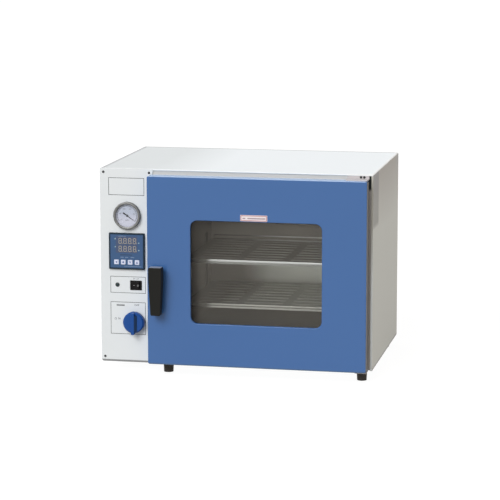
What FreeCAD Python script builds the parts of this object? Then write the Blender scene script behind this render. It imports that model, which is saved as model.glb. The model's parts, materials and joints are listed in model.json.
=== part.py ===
import FreeCAD, Part
import os
import re
import Sketcher

# A benchtop vacuum drying oven: control bay on the left, windowed door on the right.
# Millimetres, +Z up, +Y to the back, origin on the table under the middle of the whole.

V = FreeCAD.Vector
doc = FreeCAD.newDocument("drying_oven")
dims = doc.addObject("Spreadsheet::Sheet", "Dims")
places = doc.addObject("App::VarSet", "Places")

DIMENSIONS = [
    ("cab_wide", 720, "cabinet width over the casing"),
    ("cab_deep", 475, "cabinet depth, front panel to rear panel"),
    ("cab_high", 510, "cabinet height without the feet"),
    ("foot_high", 30, "foot height"),
    ("case_wall", 1.5, "sheet thickness of casing, rear panel and base"),
    ("bend_radius", 3, "outside radius of the casing's bends"),
    ("case_lip", 5, "casing's front lip beside the door"),
    ("top_lip", 3, "casing's front lip over the door"),
    ("panel_wide", 142, "control panel width"),
    ("panel_thick", 2, "control panel sheet"),
    ("panel_fold", 10, "control panel's rear fold at the door side"),
    ("frame_back", 3, "front frame behind the control panel's face"),
    ("frame_thick", 1.5, "front frame sheet"),
    ("frame_fold", 12, "front frame's stiffening fold"),
    ("seat_gap", 0.3, "gap between neighbouring sheets"),
    ("door_over", 7, "door's left edge over the control panel"),
    ("door_under", 13, "door's upper edge below the cabinet's top"),
    ("door_edge", 10.5, "door's right edge in from the casing's side"),
    ("door_lift", 2, "door's lower edge above the cabinet's underside"),
    ("door_proud", 38, "door face in front of the control panel"),
    ("door_gap", 5, "door back in front of the control panel's plane"),
    ("door_wall", 1.5, "door skin sheet"),
    ("door_corner", 5, "door corner radius"),
    ("door_bend", 2, "door skin's front edge radius"),
    ("window_side", 115.25, "window opening in from the door's side edges"),
    ("window_rise", 112.25, "window opening in from the door's upper and lower edges"),
    ("window_corner", 18, "window opening corner radius"),
    ("window_fold", 9, "depth of the window opening's inward fold"),
    ("pane_thick", 5, "outer pane"),
    ("pane_lap", 16, "outer pane beyond the window opening"),
    ("glass_thick", 12, "toughened inner glass"),
    ("glass_lap", 32, "inner glass beyond the chamber's mouth"),
    ("ring_thick", 2, "door inner frame sheet"),
    ("ring_seat", 12, "inner frame's seat under the glass edge"),
    ("cushion_thick", 1.5, "strip between glass and seat"),
    ("clamp_long", 30, "glass clamp length"),
    ("clamp_wide", 16, "glass clamp width"),
    ("clamp_bite", 5, "glass clamp's hold on the glass edge"),
    ("chamber_side", 80, "chamber's inside in from the door's side edges"),
    ("chamber_rise", 75, "chamber's inside in from the door's upper and lower edges"),
    ("chamber_rear", 104, "chamber's inside in front of the cabinet's back"),
    ("chamber_wall", 4, "chamber plate"),
    ("chamber_corner", 15, "chamber's inside corner radius"),
    ("flange_wide", 40, "mouth flange beyond the chamber's inside"),
    ("flange_thick", 8, "mouth flange plate"),
    ("flange_back", 1, "flange face behind the control panel's plane"),
    ("seal_in", 14, "seal beyond the chamber's mouth"),
    ("seal_wide", 10, "seal width"),
    ("seal_groove", 4, "seal groove depth"),
    ("heater_thick", 6, "heating plate on the chamber's outside"),
    ("heater_inset", 40, "heating plate's inset from the chamber's edges"),
    ("rail_wide", 30, "rail that carries the chamber"),
    ("rail_thick", 3, "rail sheet"),
    ("rail_in", 47.5, "rail's middle in from the chamber's inside wall"),
    ("rail_play", 1, "space round a rail in the glass wool"),
    ("rail_front", 30, "rails behind the control panel's plane"),
    ("wool_behind", 42, "glass wool behind the chamber"),
    ("rack_reach", 14, "runner's ledge"),
    ("rack_drop", 14, "runner's side"),
    ("rack_thick", 1.5, "rack sheet"),
    ("rack_post", 25, "rack upright width"),
    ("rack_post_in", 40, "rack upright in from the runner's ends"),
    ("shelf_low", 78, "lower shelf's face above the chamber floor"),
    ("shelf_apart", 117, "from the lower shelf to the upper one"),
    ("shelf_back", 36.5, "shelf's front edge behind the chamber's mouth"),
    ("shelf_rear", 7.5, "shelf's rear edge in front of the chamber's back"),
    ("shelf_edge", 11, "height of the shelf's folded edge"),
    ("shelf_thick", 1.2, "shelf sheet"),
    ("shelf_play", 2, "shelf's play beside the rack uprights"),
    ("slot_web", 22.5, "sheet between the slots of a row"),
    ("slot_wide", 10, "shelf slot width"),
    ("slot_inset", 24, "shelf slots in from the shelf's edges"),
    ("slot_columns", 3, "slots across a shelf"),
    ("slot_rows", 8, "slots along a shelf"),
    ("pin_in", 11, "hinge pin in from the door's right edge"),
    ("pin_out", 20, "hinge pin in front of the control panel's plane"),
    ("pin_radius", 4, "hinge pin radius"),
    ("pin_long", 16, "hinge pin's reach into the door"),
    ("run_clear", 0.05, "running clearance round pins and shafts"),
    ("bush_wall", 4, "bush wall"),
    ("bush_long", 22, "hinge bush length"),
    ("bracket_thick", 3, "hinge bracket plate"),
    ("bracket_wide", 57, "upper hinge bracket width"),
    ("bracket_foot", 30, "lower hinge bracket's height"),
    ("bracket_nose", 9, "hinge bracket in front of the pin"),
    ("handle_in", 28.3, "handle shaft in from the door's left edge"),
    ("handle_up", 243.6, "handle shaft above the door's lower edge"),
    ("handle_proud", 35, "handle face in front of the door"),
    ("handle_gap", 12, "finger gap behind the handle"),
    ("handle_head", 35.5, "handle width at its head"),
    ("handle_tip", 26, "handle width at its tip"),
    ("handle_above", 18, "handle above its shaft"),
    ("handle_below", 109, "handle below its shaft"),
    ("handle_round", 4, "handle's corner radius"),
    ("handle_lean", 4, "handle tip set back from its head"),
    ("hub_radius", 13, "handle's hub radius"),
    ("shaft_radius", 5, "handle shaft radius"),
    ("cam_thick", 6, "latch cam"),
    ("cam_long", 16, "latch cam's reach"),
    ("cam_wide", 10, "latch cam width"),
    ("cam_gap", 0.6, "latch cam behind the striker"),
    ("striker_thick", 3, "striker plate"),
    ("striker_wide", 27, "striker width"),
    ("striker_high", 54, "striker height"),
    ("latch_play", 2.5, "play round the cam in the striker's slot"),
    ("column_in", 73.5, "gauge and controller in from the left side"),
    ("gauge_up", 387, "gauge centre above the cabinet's underside"),
    ("gauge_rim", 36.2, "gauge bezel radius"),
    ("gauge_body", 32, "gauge case radius"),
    ("gauge_deep", 34, "gauge case behind the panel's face"),
    ("gauge_proud", 10, "gauge bezel in front of the panel"),
    ("gauge_wall", 1.2, "gauge case wall"),
    ("dial_radius", 30.6, "gauge dial radius"),
    ("dial_back", 4, "gauge dial in front of the panel's face"),
    ("dial_thick", 0.6, "gauge dial"),
    ("lens_thick", 1.5, "gauge lens"),
    ("needle_reach", 25, "needle tip from its pivot"),
    ("needle_tail", 13, "needle tail from its pivot"),
    ("needle_angle", 35, "needle below level at rest, degrees"),
    ("needle_thick", 0.5, "needle sheet"),
    ("needle_hub", 3, "needle hub radius"),
    ("needle_broad", 1.9, "half of the needle's width at its tail"),
    ("pivot_radius", 0.8, "needle pivot radius"),
    ("stem_radius", 6, "gauge stem radius"),
    ("stem_long", 12, "gauge stem length"),
    ("control_size", 96, "controller front, square"),
    ("control_aside", 1.5, "controller's centre left of the gauge's centre"),
    ("control_gap", 9.8, "controller below the gauge's rim"),
    ("control_proud", 6.5, "controller bezel in front of the panel"),
    ("control_rim", 4, "controller bezel's border"),
    ("control_case", 91, "controller case, square"),
    ("control_deep", 78, "controller case behind the panel's face"),
    ("fascia_thick", 1.5, "controller face plate"),
    ("fascia_back", 0.8, "face plate behind the bezel's edge"),
    ("display_wide", 58, "display window width"),
    ("display_high", 44, "display window height"),
    ("display_up", 17.5, "display centre above the controller's centre"),
    ("key_size", 12.4, "key, square"),
    ("key_pitch", 18.5, "from one key to the next"),
    ("key_down", 29, "keys below the controller's centre"),
    ("key_proud", 1, "key in front of the face plate"),
    ("key_deep", 4, "key from front to back"),
    ("key_travel", 0.6, "key travel"),
    ("key_play", 0.3, "gap round a key"),
    ("board_thick", 1.6, "controller's circuit board"),
    ("switch_in", 95, "switch centre in from the left side"),
    ("switch_up", 202.5, "switch and lamp above the cabinet's underside"),
    ("switch_wide", 31.7, "switch bezel width"),
    ("switch_high", 25.4, "switch bezel height"),
    ("switch_proud", 2, "switch bezel in front of the panel"),
    ("switch_deep", 24, "switch body behind the panel's face"),
    ("switch_lap", 2, "switch bezel over the edge of its hole"),
    ("switch_well", 6, "switch's well behind the rocker's pivot"),
    ("rocker_half", 10, "half of the rocker's width"),
    ("rocker_high", 17.2, "rocker height"),
    ("rocker_rise", 5.2, "rocker's ends in front of its pivot"),
    ("rocker_dip", 3.4, "rocker's middle in front of its pivot"),
    ("rocker_tilt", 10, "rocker's tilt each way, degrees"),
    ("rocker_back", 2, "rocker pivot behind the panel's face"),
    ("rocker_pin", 1.5, "rocker pin radius"),
    ("rocker_side", 1.4, "rocker pin beyond the rocker, and the well's play beside it"),
    ("lamp_in", 45, "pilot lamp in from the left side"),
    ("lamp_radius", 5, "pilot lamp's lens radius"),
    ("lamp_barrel", 4, "pilot lamp's barrel radius"),
    ("lamp_rise", 3, "pilot lamp's lens in front of the panel"),
    ("lamp_long", 20, "pilot lamp's barrel behind the panel"),
    ("lamp_nut", 3, "pilot lamp's nut"),
    ("lamp_nut_wall", 1.5, "pilot lamp's nut beyond its lens"),
    ("valve_in", 91, "valve centre in from the left side"),
    ("valve_up", 105.5, "valve centre above the cabinet's underside"),
    ("knob_radius", 28, "valve knob radius"),
    ("knob_thick", 14, "valve knob's disc"),
    ("knob_gap", 5, "valve knob in front of the panel"),
    ("knob_edge", 3, "valve knob's sloped front edge"),
    ("grip_high", 8, "valve knob's grip in front of its disc"),
    ("grip_wide", 9, "valve knob's grip width"),
    ("grip_over", 3, "grip's pointer beyond the disc"),
    ("valve_shaft", 4, "valve shaft radius"),
    ("valve_side", 56, "valve block width"),
    ("valve_high", 46, "valve block height"),
    ("valve_deep", 44, "valve block depth"),
    ("valve_bore", 30, "depth of the shaft's bore"),
    ("valve_round", 3, "valve block's corner radius"),
    ("neck_wall", 3.7, "valve neck's wall"),
    ("nut_size", 11, "valve nut's half width over its flats"),
    ("nut_thick", 4, "valve nut"),
    ("pipe_radius", 5, "vacuum pipe radius"),
    ("pipe_bore", 3.5, "vacuum pipe bore radius"),
    ("pipe_bend", 14, "gauge pipe's bend radius"),
    ("tee_room", 16, "gauge pipe behind the controller case"),
    ("tee_half", 9, "half of the tee block"),
    ("tail_in", 10, "vacuum nozzle's tail inside the rear panel"),
    ("nozzle_reach", 40, "vacuum nozzle behind the rear panel"),
    ("nozzle_flange", 14, "vacuum nozzle's flange radius"),
    ("nozzle_base", 12, "vacuum nozzle's thick base"),
    ("partition_thick", 1.5, "wall between bay and wool"),
    ("partition_in", 5, "partition right of the control panel"),
    ("partition_foot", 14, "partition's foot fold"),
    ("partition_gap", 2, "partition behind the front frame's fold"),
    ("pan_high", 16, "base pan's folded edge"),
    ("vent_long", 70, "vent slot length in the base pan"),
    ("vent_wide", 6, "vent slot width"),
    ("vent_back", 120, "first vent behind the control panel"),
    ("vent_run", 200, "from the first vent to the last"),
    ("vent_count", 6, "vents in the base pan"),
    ("louvre_long", 90, "louvre length"),
    ("louvre_high", 9, "louvre hood height"),
    ("louvre_out", 4, "louvre hood's depth"),
    ("louvre_count", 8, "louvres in the column"),
    ("louvre_run", 140, "from the first louvre to the last"),
    ("louvre_up", 300, "first louvre above the cabinet's underside"),
    ("inlet_wide", 30.7, "power inlet flange width"),
    ("inlet_high", 25, "power inlet flange height"),
    ("inlet_up", 60, "power inlet above the cabinet's underside"),
    ("inlet_in", 40, "power inlet in from the left side"),
    ("socket_wide", 24, "power inlet's socket width"),
    ("socket_high", 16.6, "power inlet's socket height"),
    ("socket_deep", 18, "power inlet's socket depth"),
    ("inlet_plate", 2.5, "power inlet's flange"),
    ("inlet_wall", 1.5, "power inlet's wall"),
    ("blade_long", 12, "power inlet's blades"),
    ("blade_apart", 7, "outer blades from the inlet's middle"),
    ("blade_drop", 2, "outer blades below the middle, and earth blade above it"),
    ("blade_thin", 2, "blade thickness"),
    ("blade_high", 4, "blade height"),
    ("fuse_up", 40, "fuse holder above the power inlet"),
    ("fuse_deep", 28, "fuse holder behind the rear panel's face"),
    ("fuse_proud", 10, "fuse cap outside the rear panel"),
    ("fuse_barrel", 5.7, "fuse holder's barrel radius"),
    ("fuse_brim", 8, "fuse holder's brim radius"),
    ("fuse_slot", 1.6, "coin slot's width in the fuse cap"),
    ("fuse_radius", 7, "fuse holder cap radius"),
    ("foot_radius", 14, "foot radius at its top"),
    ("foot_sole", 12.5, "foot radius at its sole"),
    ("foot_left", 175, "left feet in from the left side"),
    ("foot_right", 30, "right feet in from the right side"),
    ("foot_inset", 28, "feet in from the front and the back"),
    ("foot_bore", 3.2, "foot's screw hole radius"),
    ("foot_sink", 5, "foot's recess radius under its screw"),
    ("foot_web", 10, "rubber between the screw's head and the base pan"),
    ("foot_shank", 3, "foot screw radius"),
    ("foot_head", 4, "foot screw's head height"),
    ("screw_radius", 2, "panel screw shank radius"),
    ("screw_head", 4, "panel screw head radius"),
    ("screw_rise", 1.6, "panel screw head height"),
    ("screw_long", 8, "panel screw length"),
    ("hinge_screw", 3.2, "hinge screw's head radius"),
    ("hinge_head", 0.8, "hinge screw's head height"),
    ("screw_in", 10.3, "panel screws in from the panel's edges"),
    ("probe_radius", 2.5, "temperature probe radius"),
    ("probe_long", 60, "temperature probe's reach into the chamber"),
    ("probe_down", 40, "temperature probe below the chamber's roof"),
    ("probe_nut", 5, "probe's gland nut beyond the probe"),
    ("probe_nut_long", 8, "probe's gland nut length"),
    ("probe_tail", 12, "probe behind the glass wool"),
    ("plate_wide", 70.5, "blank plate over the window, width"),
    ("plate_high", 16, "blank plate height"),
    ("plate_thick", 0.5, "blank plate"),
    ("plate_over", 1, "blank plate above the window opening"),
    ("relay_wide", 45, "power relay's base"),
    ("relay_high", 60, "power relay height"),
    ("relay_deep", 28, "power relay standing off the partition"),
    ("relay_foot", 8, "power relay's base plate"),
    ("relay_rim", 10, "base plate beyond the relay"),
    ("relay_back", 150, "power relay behind the control panel's plane"),
    ("relay_up", 250, "power relay above the cabinet's underside"),
]

for row, (alias, number, meaning) in enumerate(DIMENSIONS, start=1):
    dims.set("A%d" % row, meaning)
    dims.set("B%d" % row, str(number))
    dims.setAlias("B%d" % row, alias)

dim_names = {alias for alias, number, meaning in DIMENSIONS}
place_names = set()


def full(text, inside=False):
    """Spell out where each name in an expression is kept."""
    def owner(match):
        word = match.group()
        if word in dim_names:
            return "Dims." + word
        if word in place_names and not inside:
            return "Places." + word
        return word
    return re.sub(r"[a-z_][a-z0-9_]*", owner, text)


def place(name, text):
    """Add a derived length or position."""
    places.addProperty("App::PropertyFloat", name)
    places.setExpression(name, full(text, inside=True))
    place_names.add(name)


# Depths along Y
place("front_y", "(door_proud + handle_proud - cab_deep - nozzle_reach) / 2")
place("back_y", "front_y + cab_deep")
place("door_face", "front_y - door_proud")
place("door_back", "front_y - door_gap")
place("pin_y", "front_y - pin_out")
place("frame_y", "front_y + frame_back")
place("frame_rear", "frame_y + frame_thick")
place("mouth_y", "front_y + flange_back")
place("seal_y", "door_back + seat_gap")
place("handle_face", "door_face - handle_proud")
place("striker_rear", "frame_rear + striker_thick")
place("cam_y", "striker_rear + cam_gap")
# Widths along X
place("left_x", "-cab_wide / 2")
place("right_x", "cab_wide / 2")
place("split_x", "left_x + panel_wide")
place("door_right", "right_x - door_edge")
place("door_left", "split_x - door_over")
place("door_wide", "door_right - door_left")
place("door_mid", "door_right - door_wide / 2")
place("window_wide", "door_wide - 2 * window_side")
place("pin_x", "door_right - pin_in")
place("latch_x", "door_left + handle_in")
place("column_x", "left_x + column_in")
place("control_x", "column_x - control_aside")
place("valve_x", "left_x + valve_in")
place("switch_x", "left_x + switch_in")
place("bay_x", "split_x + partition_in")
# Heights along Z
place("low_z", "foot_high")
place("top_z", "foot_high + cab_high")
place("door_low", "low_z + door_lift")
place("door_top", "top_z - door_under")
place("door_high", "door_top - door_low")
place("window_high", "door_high - 2 * window_rise")
place("door_rise", "door_low + door_high / 2")
place("latch_z", "door_low + handle_up")
place("gauge_z", "low_z + gauge_up")
place("control_z", "gauge_z - gauge_rim - control_gap - control_size / 2")
place("switch_z", "low_z + switch_up")
place("valve_z", "low_z + valve_up")
# Chamber, centred on the door
place("half_wide", "door_wide / 2 - chamber_side")
place("half_high", "door_high / 2 - chamber_rise")
place("floor_z", "door_rise - half_high")
place("chamber_end", "back_y - chamber_rear")
place("chamber_deep", "chamber_end - mouth_y")
place("shelf_deep", "chamber_deep - shelf_back - shelf_rear")
place("rail_spread", "2 * (half_wide - rail_in)")
place("flange_x", "half_wide + flange_wide")
place("flange_z", "half_high + flange_wide")
place("seal_x", "half_wide + seal_in")
place("seal_z", "half_high + seal_in")
place("wool_front", "frame_y + frame_fold + seat_gap")
place("wool_end", "chamber_end + chamber_wall + wool_behind")
place("glass_x", "half_wide + glass_lap")
place("glass_z", "half_high + glass_lap")
place("glass_front", "door_back - glass_thick")
place("seat_front", "glass_front - cushion_thick - ring_thick")
place("pane_front", "door_face + window_fold")
place("pane_back", "pane_front + pane_thick")
place("pane_x", "window_wide / 2 + pane_lap")
place("pane_z", "window_high / 2 + pane_lap")
# Controller layers, front to back
place("bezel_y", "front_y - control_proud")
place("fascia_y", "bezel_y + fascia_back")
place("key_y", "fascia_y - key_proud")
place("board_y", "key_y + key_deep + key_travel + seat_gap")
place("bay_front", "front_y + panel_thick")
place("nut_y", "front_y - nut_thick")
place("knob_back", "front_y - knob_gap")
place("knob_face", "knob_back - knob_thick")
place("valve_y", "bay_front + seat_gap")
place("dial_y", "front_y - dial_back")
place("needle_y", "dial_y - seat_gap - needle_thick")
place("lens_y", "front_y - gauge_proud + 1")
place("gauge_mouth", "lens_y + 2 * lens_thick")
place("port_y", "valve_y + valve_deep / 2")
place("tee_y", "front_y + control_deep + tee_room")
place("rest_turn", "-rocker_tilt")
doc.recompute()


def value(text):
    """Number that an expression has now."""
    return float(dims.evalExpression(full(text)))


def bind(item, path, text):
    item.setExpression(path, full(text))


# Sketch outlines, each point held from the sketch's origin


def hold_points(sketch, wanted):
    """Fix points given as (geometry, end, x, y), each coordinate by its expression."""
    for geometry, end, px, py in wanted:
        pair = [Sketcher.Constraint("DistanceX", -1, 1, geometry, end, value(px)),
                Sketcher.Constraint("DistanceY", -1, 1, geometry, end, value(py))]
        for number, text in zip(sketch.addConstraint(pair), (px, py)):
            bind(sketch, "Constraints[%d]" % number, text)


def draw_polygon(sketch, points):
    spots = [V(value(px), value(py), 0) for px, py in points]
    count = len(points)
    lines = [Part.LineSegment(spots[i], spots[(i + 1) % count]) for i in range(count)]
    edges = sketch.addGeometry(lines, False)
    joins = [Sketcher.Constraint("Coincident", edges[i], 2, edges[(i + 1) % count], 1) for i in range(count)]
    sketch.addConstraint(joins)
    hold_points(sketch, [(edges[i], 1, points[i][0], points[i][1]) for i in range(count)])


def draw_box(sketch, x0, x1, y0, y1):
    draw_polygon(sketch, [(x0, y0), (x1, y0), (x1, y1), (x0, y1)])


def draw_circle(sketch, cx, cy, radius):
    middle = V(value(cx), value(cy), 0)
    ring = sketch.addGeometry(Part.Circle(middle, V(0, 0, 1), value(radius)), False)
    hold_points(sketch, [(ring, 3, cx, cy)])
    number = sketch.addConstraint(Sketcher.Constraint("Radius", ring, value(radius)))
    bind(sketch, "Constraints[%d]" % number, radius)


def draw_rounded(sketch, x0, x1, y0, y1, radius):
    """Rectangle with round corners, as four arcs and four lines in turn."""
    a, b, c, d, r = (value(text) for text in (x0, x1, y0, y1, radius))
    inner = ["(%s) + %s" % (x0, radius), "(%s) - %s" % (x1, radius),
             "(%s) + %s" % (y0, radius), "(%s) - %s" % (y1, radius)]
    corners = [(a + r, c + r, 2), (b - r, c + r, 3), (b - r, d - r, 0), (a + r, d - r, 1)]
    quarter = 1.5707963267948966
    shapes = []
    for cx, cy, turn in corners:
        ring = Part.Circle(V(cx, cy, 0), V(0, 0, 1), r)
        shapes.append(Part.ArcOfCircle(ring, turn * quarter, (turn + 1) * quarter))
    ends = [(a + r, c, b - r, c), (b, c + r, b, d - r), (b - r, d, a + r, d), (a, d - r, a, c + r)]
    shapes += [Part.LineSegment(V(e[0], e[1], 0), V(e[2], e[3], 0)) for e in ends]
    edges = sketch.addGeometry(shapes, False)
    arcs = edges[:4]
    lines = edges[4:]
    joins = []
    for i in range(4):
        joins.append(Sketcher.Constraint("Coincident", arcs[i], 2, lines[i], 1))
        joins.append(Sketcher.Constraint("Coincident", lines[i], 2, arcs[(i + 1) % 4], 1))
    sketch.addConstraint(joins)
    hold_points(sketch, [
        (lines[0], 1, inner[0], y0), (lines[0], 2, inner[1], y0),
        (lines[1], 1, x1, inner[2]), (lines[1], 2, x1, inner[3]),
        (lines[2], 1, inner[1], y1), (lines[2], 2, inner[0], y1),
        (lines[3], 1, x0, inner[3]), (lines[3], 2, x0, inner[2])])
    for i, text in enumerate((inner[0], inner[1], inner[1], inner[0])):
        number = sketch.addConstraint(Sketcher.Constraint("DistanceX", -1, 1, arcs[i], 3, value(text)))
        bind(sketch, "Constraints[%d]" % number, text)


def draw_slot(sketch, cx, cy, length, width):
    """Slot along the sketch's X, with half-round ends."""
    x, y, wide = value(cx), value(cy), value(width)
    half = (value(length) - wide) / 2
    reach = "(%s - %s) / 2" % (length, width)
    west, east = "(%s) - %s" % (cx, reach), "(%s) + %s" % (cx, reach)
    low, high = "(%s) - %s / 2" % (cy, width), "(%s) + %s / 2" % (cy, width)
    quarter = 1.5707963267948966
    left = Part.ArcOfCircle(Part.Circle(V(x - half, y, 0), V(0, 0, 1), wide / 2), quarter, 3 * quarter)
    right = Part.ArcOfCircle(Part.Circle(V(x + half, y, 0), V(0, 0, 1), wide / 2), -quarter, quarter)
    lower = Part.LineSegment(V(x - half, y - wide / 2, 0), V(x + half, y - wide / 2, 0))
    upper = Part.LineSegment(V(x + half, y + wide / 2, 0), V(x - half, y + wide / 2, 0))
    edges = sketch.addGeometry([left, lower, right, upper], False)
    joins = [Sketcher.Constraint("Coincident", edges[i], 2, edges[(i + 1) % 4], 1) for i in range(4)]
    sketch.addConstraint(joins)
    hold_points(sketch, [(edges[1], 1, west, low), (edges[1], 2, east, low),
                         (edges[3], 1, east, high), (edges[3], 2, west, high)])
    for arc, text in ((edges[0], west), (edges[2], east)):
        number = sketch.addConstraint(Sketcher.Constraint("DistanceX", -1, 1, arc, 3, value(text)))
        bind(sketch, "Constraints[%d]" % number, text)


# Bodies and features

bodies = []


def new_body(name):
    body = doc.addObject("PartDesign::Body", name)
    body.Label = name
    body.AllowCompound = True
    bodies.append(body)
    return body


def origin_part(body, role):
    return [item for item in body.Origin.OriginFeatures if item.Role == role][0]


def new_sketch(body, name, plane, along="0", across="0", offset="0"):
    """Sketch on an origin plane, moved by expressions in the plane's own directions."""
    sketch = body.newObject("Sketcher::SketchObject", name)
    sketch.AttachmentSupport = [(origin_part(body, plane + "_Plane"), "")]
    sketch.MapMode = "FlatFace"
    bind(sketch, "AttachmentOffset.Base.x", along)
    bind(sketch, "AttachmentOffset.Base.y", across)
    bind(sketch, "AttachmentOffset.Base.z", offset)
    return sketch


def extrude(body, name, plane, start, end, draw, cut=False):
    """Pad or pocket a sketch on the XY, XZ or YZ plane from start to end, upwards along its third axis."""
    backward = plane == "XZ"
    offset = "-(%s)" % start if backward else start
    sketch = new_sketch(body, name + "_sketch", plane, offset=offset)
    draw(sketch)
    feature = body.newObject("PartDesign::Pocket" if cut else "PartDesign::Pad", name)
    feature.Profile = sketch
    feature.Reversed = backward != cut
    bind(feature, "Length", "(%s) - (%s)" % (end, start))
    body.Tip = feature
    return feature


def turn(body, name, axis, centre, points, cut=False):
    """Revolve or groove an outline of (distance along the axis, radius) about an axis through centre."""
    cx, cy, cz = centre
    if axis == "Y":
        sketch = new_sketch(body, name + "_sketch", "YZ", along=cy, across=cz, offset=cx)
        outline = points
    elif axis == "X":
        sketch = new_sketch(body, name + "_sketch", "XZ", along=cx, across=cz, offset="-(%s)" % cy)
        outline = points
    else:
        sketch = new_sketch(body, name + "_sketch", "XZ", along=cx, across=cz, offset="-(%s)" % cy)
        outline = [(radius, step) for step, radius in points]
    draw_polygon(sketch, outline)
    feature = body.newObject("PartDesign::Groove" if cut else "PartDesign::Revolution", name)
    feature.Profile = sketch
    feature.ReferenceAxis = (sketch, ["V_Axis" if axis == "Z" else "H_Axis"])
    feature.Angle = 360
    body.Tip = feature
    return feature


def repeat(body, name, original, first, second=None):
    """Pattern a feature; first and second are (axis, extent, count)."""
    pattern = body.newObject("PartDesign::LinearPattern", name)
    pattern.Originals = [original]
    axis, extent, count = first
    pattern.Direction = (origin_part(body, axis + "_Axis"), [""])
    pattern.Mode = "Extent"
    bind(pattern, "Length", extent)
    bind(pattern, "Occurrences", count)
    if second:
        axis, extent, count = second
        pattern.Direction2 = (origin_part(body, axis + "_Axis"), [""])
        pattern.Mode2 = "Extent"
        bind(pattern, "Length2", extent)
        bind(pattern, "Occurrences2", count)
    body.Tip = pattern
    return pattern


def soften(body, name, size, chosen, kind="Fillet"):
    """Fillet or chamfer the edges that chosen(edge) picks."""
    doc.recompute()
    base = body.Tip
    names = ["Edge%d" % (i + 1) for i, edge in enumerate(base.Shape.Edges) if chosen(edge)]
    if not names:
        raise RuntimeError(name + " found no edge")
    feature = body.newObject("PartDesign::" + kind, name)
    feature.Base = (base, names)
    bind(feature, "Radius" if kind == "Fillet" else "Size", size)
    body.Tip = feature
    return feature


def runs_along(edge, axis):
    """True for a straight edge parallel to X, Y or Z."""
    if not isinstance(edge.Curve, Part.Line):
        return False
    direction = edge.Curve.Direction
    return abs(getattr(direction, axis)) > 0.999


def near(number, text, slack=0.01):
    return abs(number - value(text)) < slack


def spot(edge):
    return edge.BoundBox.Center


# Cabinet shell


def make_outer_casing():
    """Sheet bent over the left side, top and right side, with front lips."""
    body = new_body("outer_casing")

    def wrap(sketch):
        draw_polygon(sketch, [
            ("left_x", "low_z"), ("left_x + case_wall", "low_z"),
            ("left_x + case_wall", "top_z - case_wall"), ("right_x - case_wall", "top_z - case_wall"),
            ("right_x - case_wall", "low_z"), ("right_x", "low_z"),
            ("right_x", "top_z"), ("left_x", "top_z")])
    extrude(body, "wrap", "XZ", "front_y", "back_y", wrap)
    extrude(body, "panel_recess", "XZ", "front_y", "bay_front", lambda s: draw_box(
        s, "left_x", "split_x", "low_z", "top_z"), cut=True)

    def door_side_lip(sketch):
        draw_polygon(sketch, [
            ("split_x", "top_z - top_lip"), ("right_x - case_lip", "top_z - top_lip"),
            ("right_x - case_lip", "low_z"), ("right_x", "low_z"),
            ("right_x", "top_z"), ("split_x", "top_z")])
    extrude(body, "front_lip", "XZ", "front_y", "front_y + case_wall", door_side_lip)
    extrude(body, "panel_lip", "XZ", "bay_front", "bay_front + case_wall", lambda s: draw_polygon(s, [
        ("left_x", "low_z"), ("left_x + 2 * screw_in", "low_z"),
        ("left_x + 2 * screw_in", "top_z - 2 * screw_in"), ("split_x", "top_z - 2 * screw_in"),
        ("split_x", "top_z"), ("left_x", "top_z")]))
    soften(body, "bends", "bend_radius", lambda e: runs_along(e, "y") and near(spot(e).z, "top_z")
           and (near(spot(e).x, "left_x") or near(spot(e).x, "right_x")))
    holes = panel_screw_circles("screw_radius")
    extrude(body, "screw_holes", "XZ", "bay_front", "bay_front + case_wall", holes, cut=True)
    return body


def panel_screw_circles(radius):
    """Circles at the control panel's four screws."""
    def draw(sketch):
        for x in ("left_x + screw_in", "split_x - screw_in"):
            for z in ("low_z + screw_in", "top_z - screw_in"):
                draw_circle(sketch, x, z, radius)
    return draw


def make_control_panel():
    """Flat panel with cut-outs and a fold beside the door."""
    body = new_body("control_panel")
    extrude(body, "sheet", "XZ", "front_y", "bay_front", lambda s: draw_box(
        s, "left_x", "split_x", "low_z", "top_z"))
    extrude(body, "side_fold", "XZ", "bay_front", "front_y + panel_fold", lambda s: draw_box(
        s, "split_x - case_wall", "split_x", "low_z", "top_z - 2 * screw_in - seat_gap"))
    extrude(body, "low_fold", "XY", "low_z", "low_z + case_wall", lambda s: draw_box(
        s, "left_x + 2 * screw_in + seat_gap", "split_x", "bay_front", "frame_y + frame_fold"))

    def openings(sketch):
        draw_circle(sketch, "column_x", "gauge_z", "gauge_body + seat_gap")
        half = "(control_case / 2 + seat_gap)"
        draw_box(sketch, "control_x - " + half, "control_x + " + half,
                 "control_z - " + half, "control_z + " + half)
        draw_box(sketch, "switch_x - switch_wide / 2 + switch_lap", "switch_x + switch_wide / 2 - switch_lap",
                 "switch_z - switch_high / 2 + switch_lap", "switch_z + switch_high / 2 - switch_lap")
        draw_circle(sketch, "left_x + lamp_in", "switch_z", "lamp_barrel + seat_gap")
        draw_circle(sketch, "valve_x", "valve_z", "valve_shaft + neck_wall + seat_gap")
    extrude(body, "openings", "XZ", "front_y", "bay_front", openings, cut=True)
    extrude(body, "screw_holes", "XZ", "front_y", "bay_front", panel_screw_circles("screw_radius"), cut=True)
    soften(body, "edges", "panel_thick * 0.4", lambda e: near(spot(e).y, "front_y") and (
        near(spot(e).z, "low_z") or near(spot(e).z, "top_z")
        or (runs_along(e, "z") and (near(spot(e).x, "left_x") or near(spot(e).x, "split_x")))))
    return body


def latch_slot(sketch):
    """Opening that the latch cam passes through."""
    draw_box(sketch, "latch_x - cam_wide / 2 - latch_play", "latch_x + cam_wide / 2 + latch_play",
             "latch_z - shaft_radius - latch_play", "latch_z + cam_long + latch_play")


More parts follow.
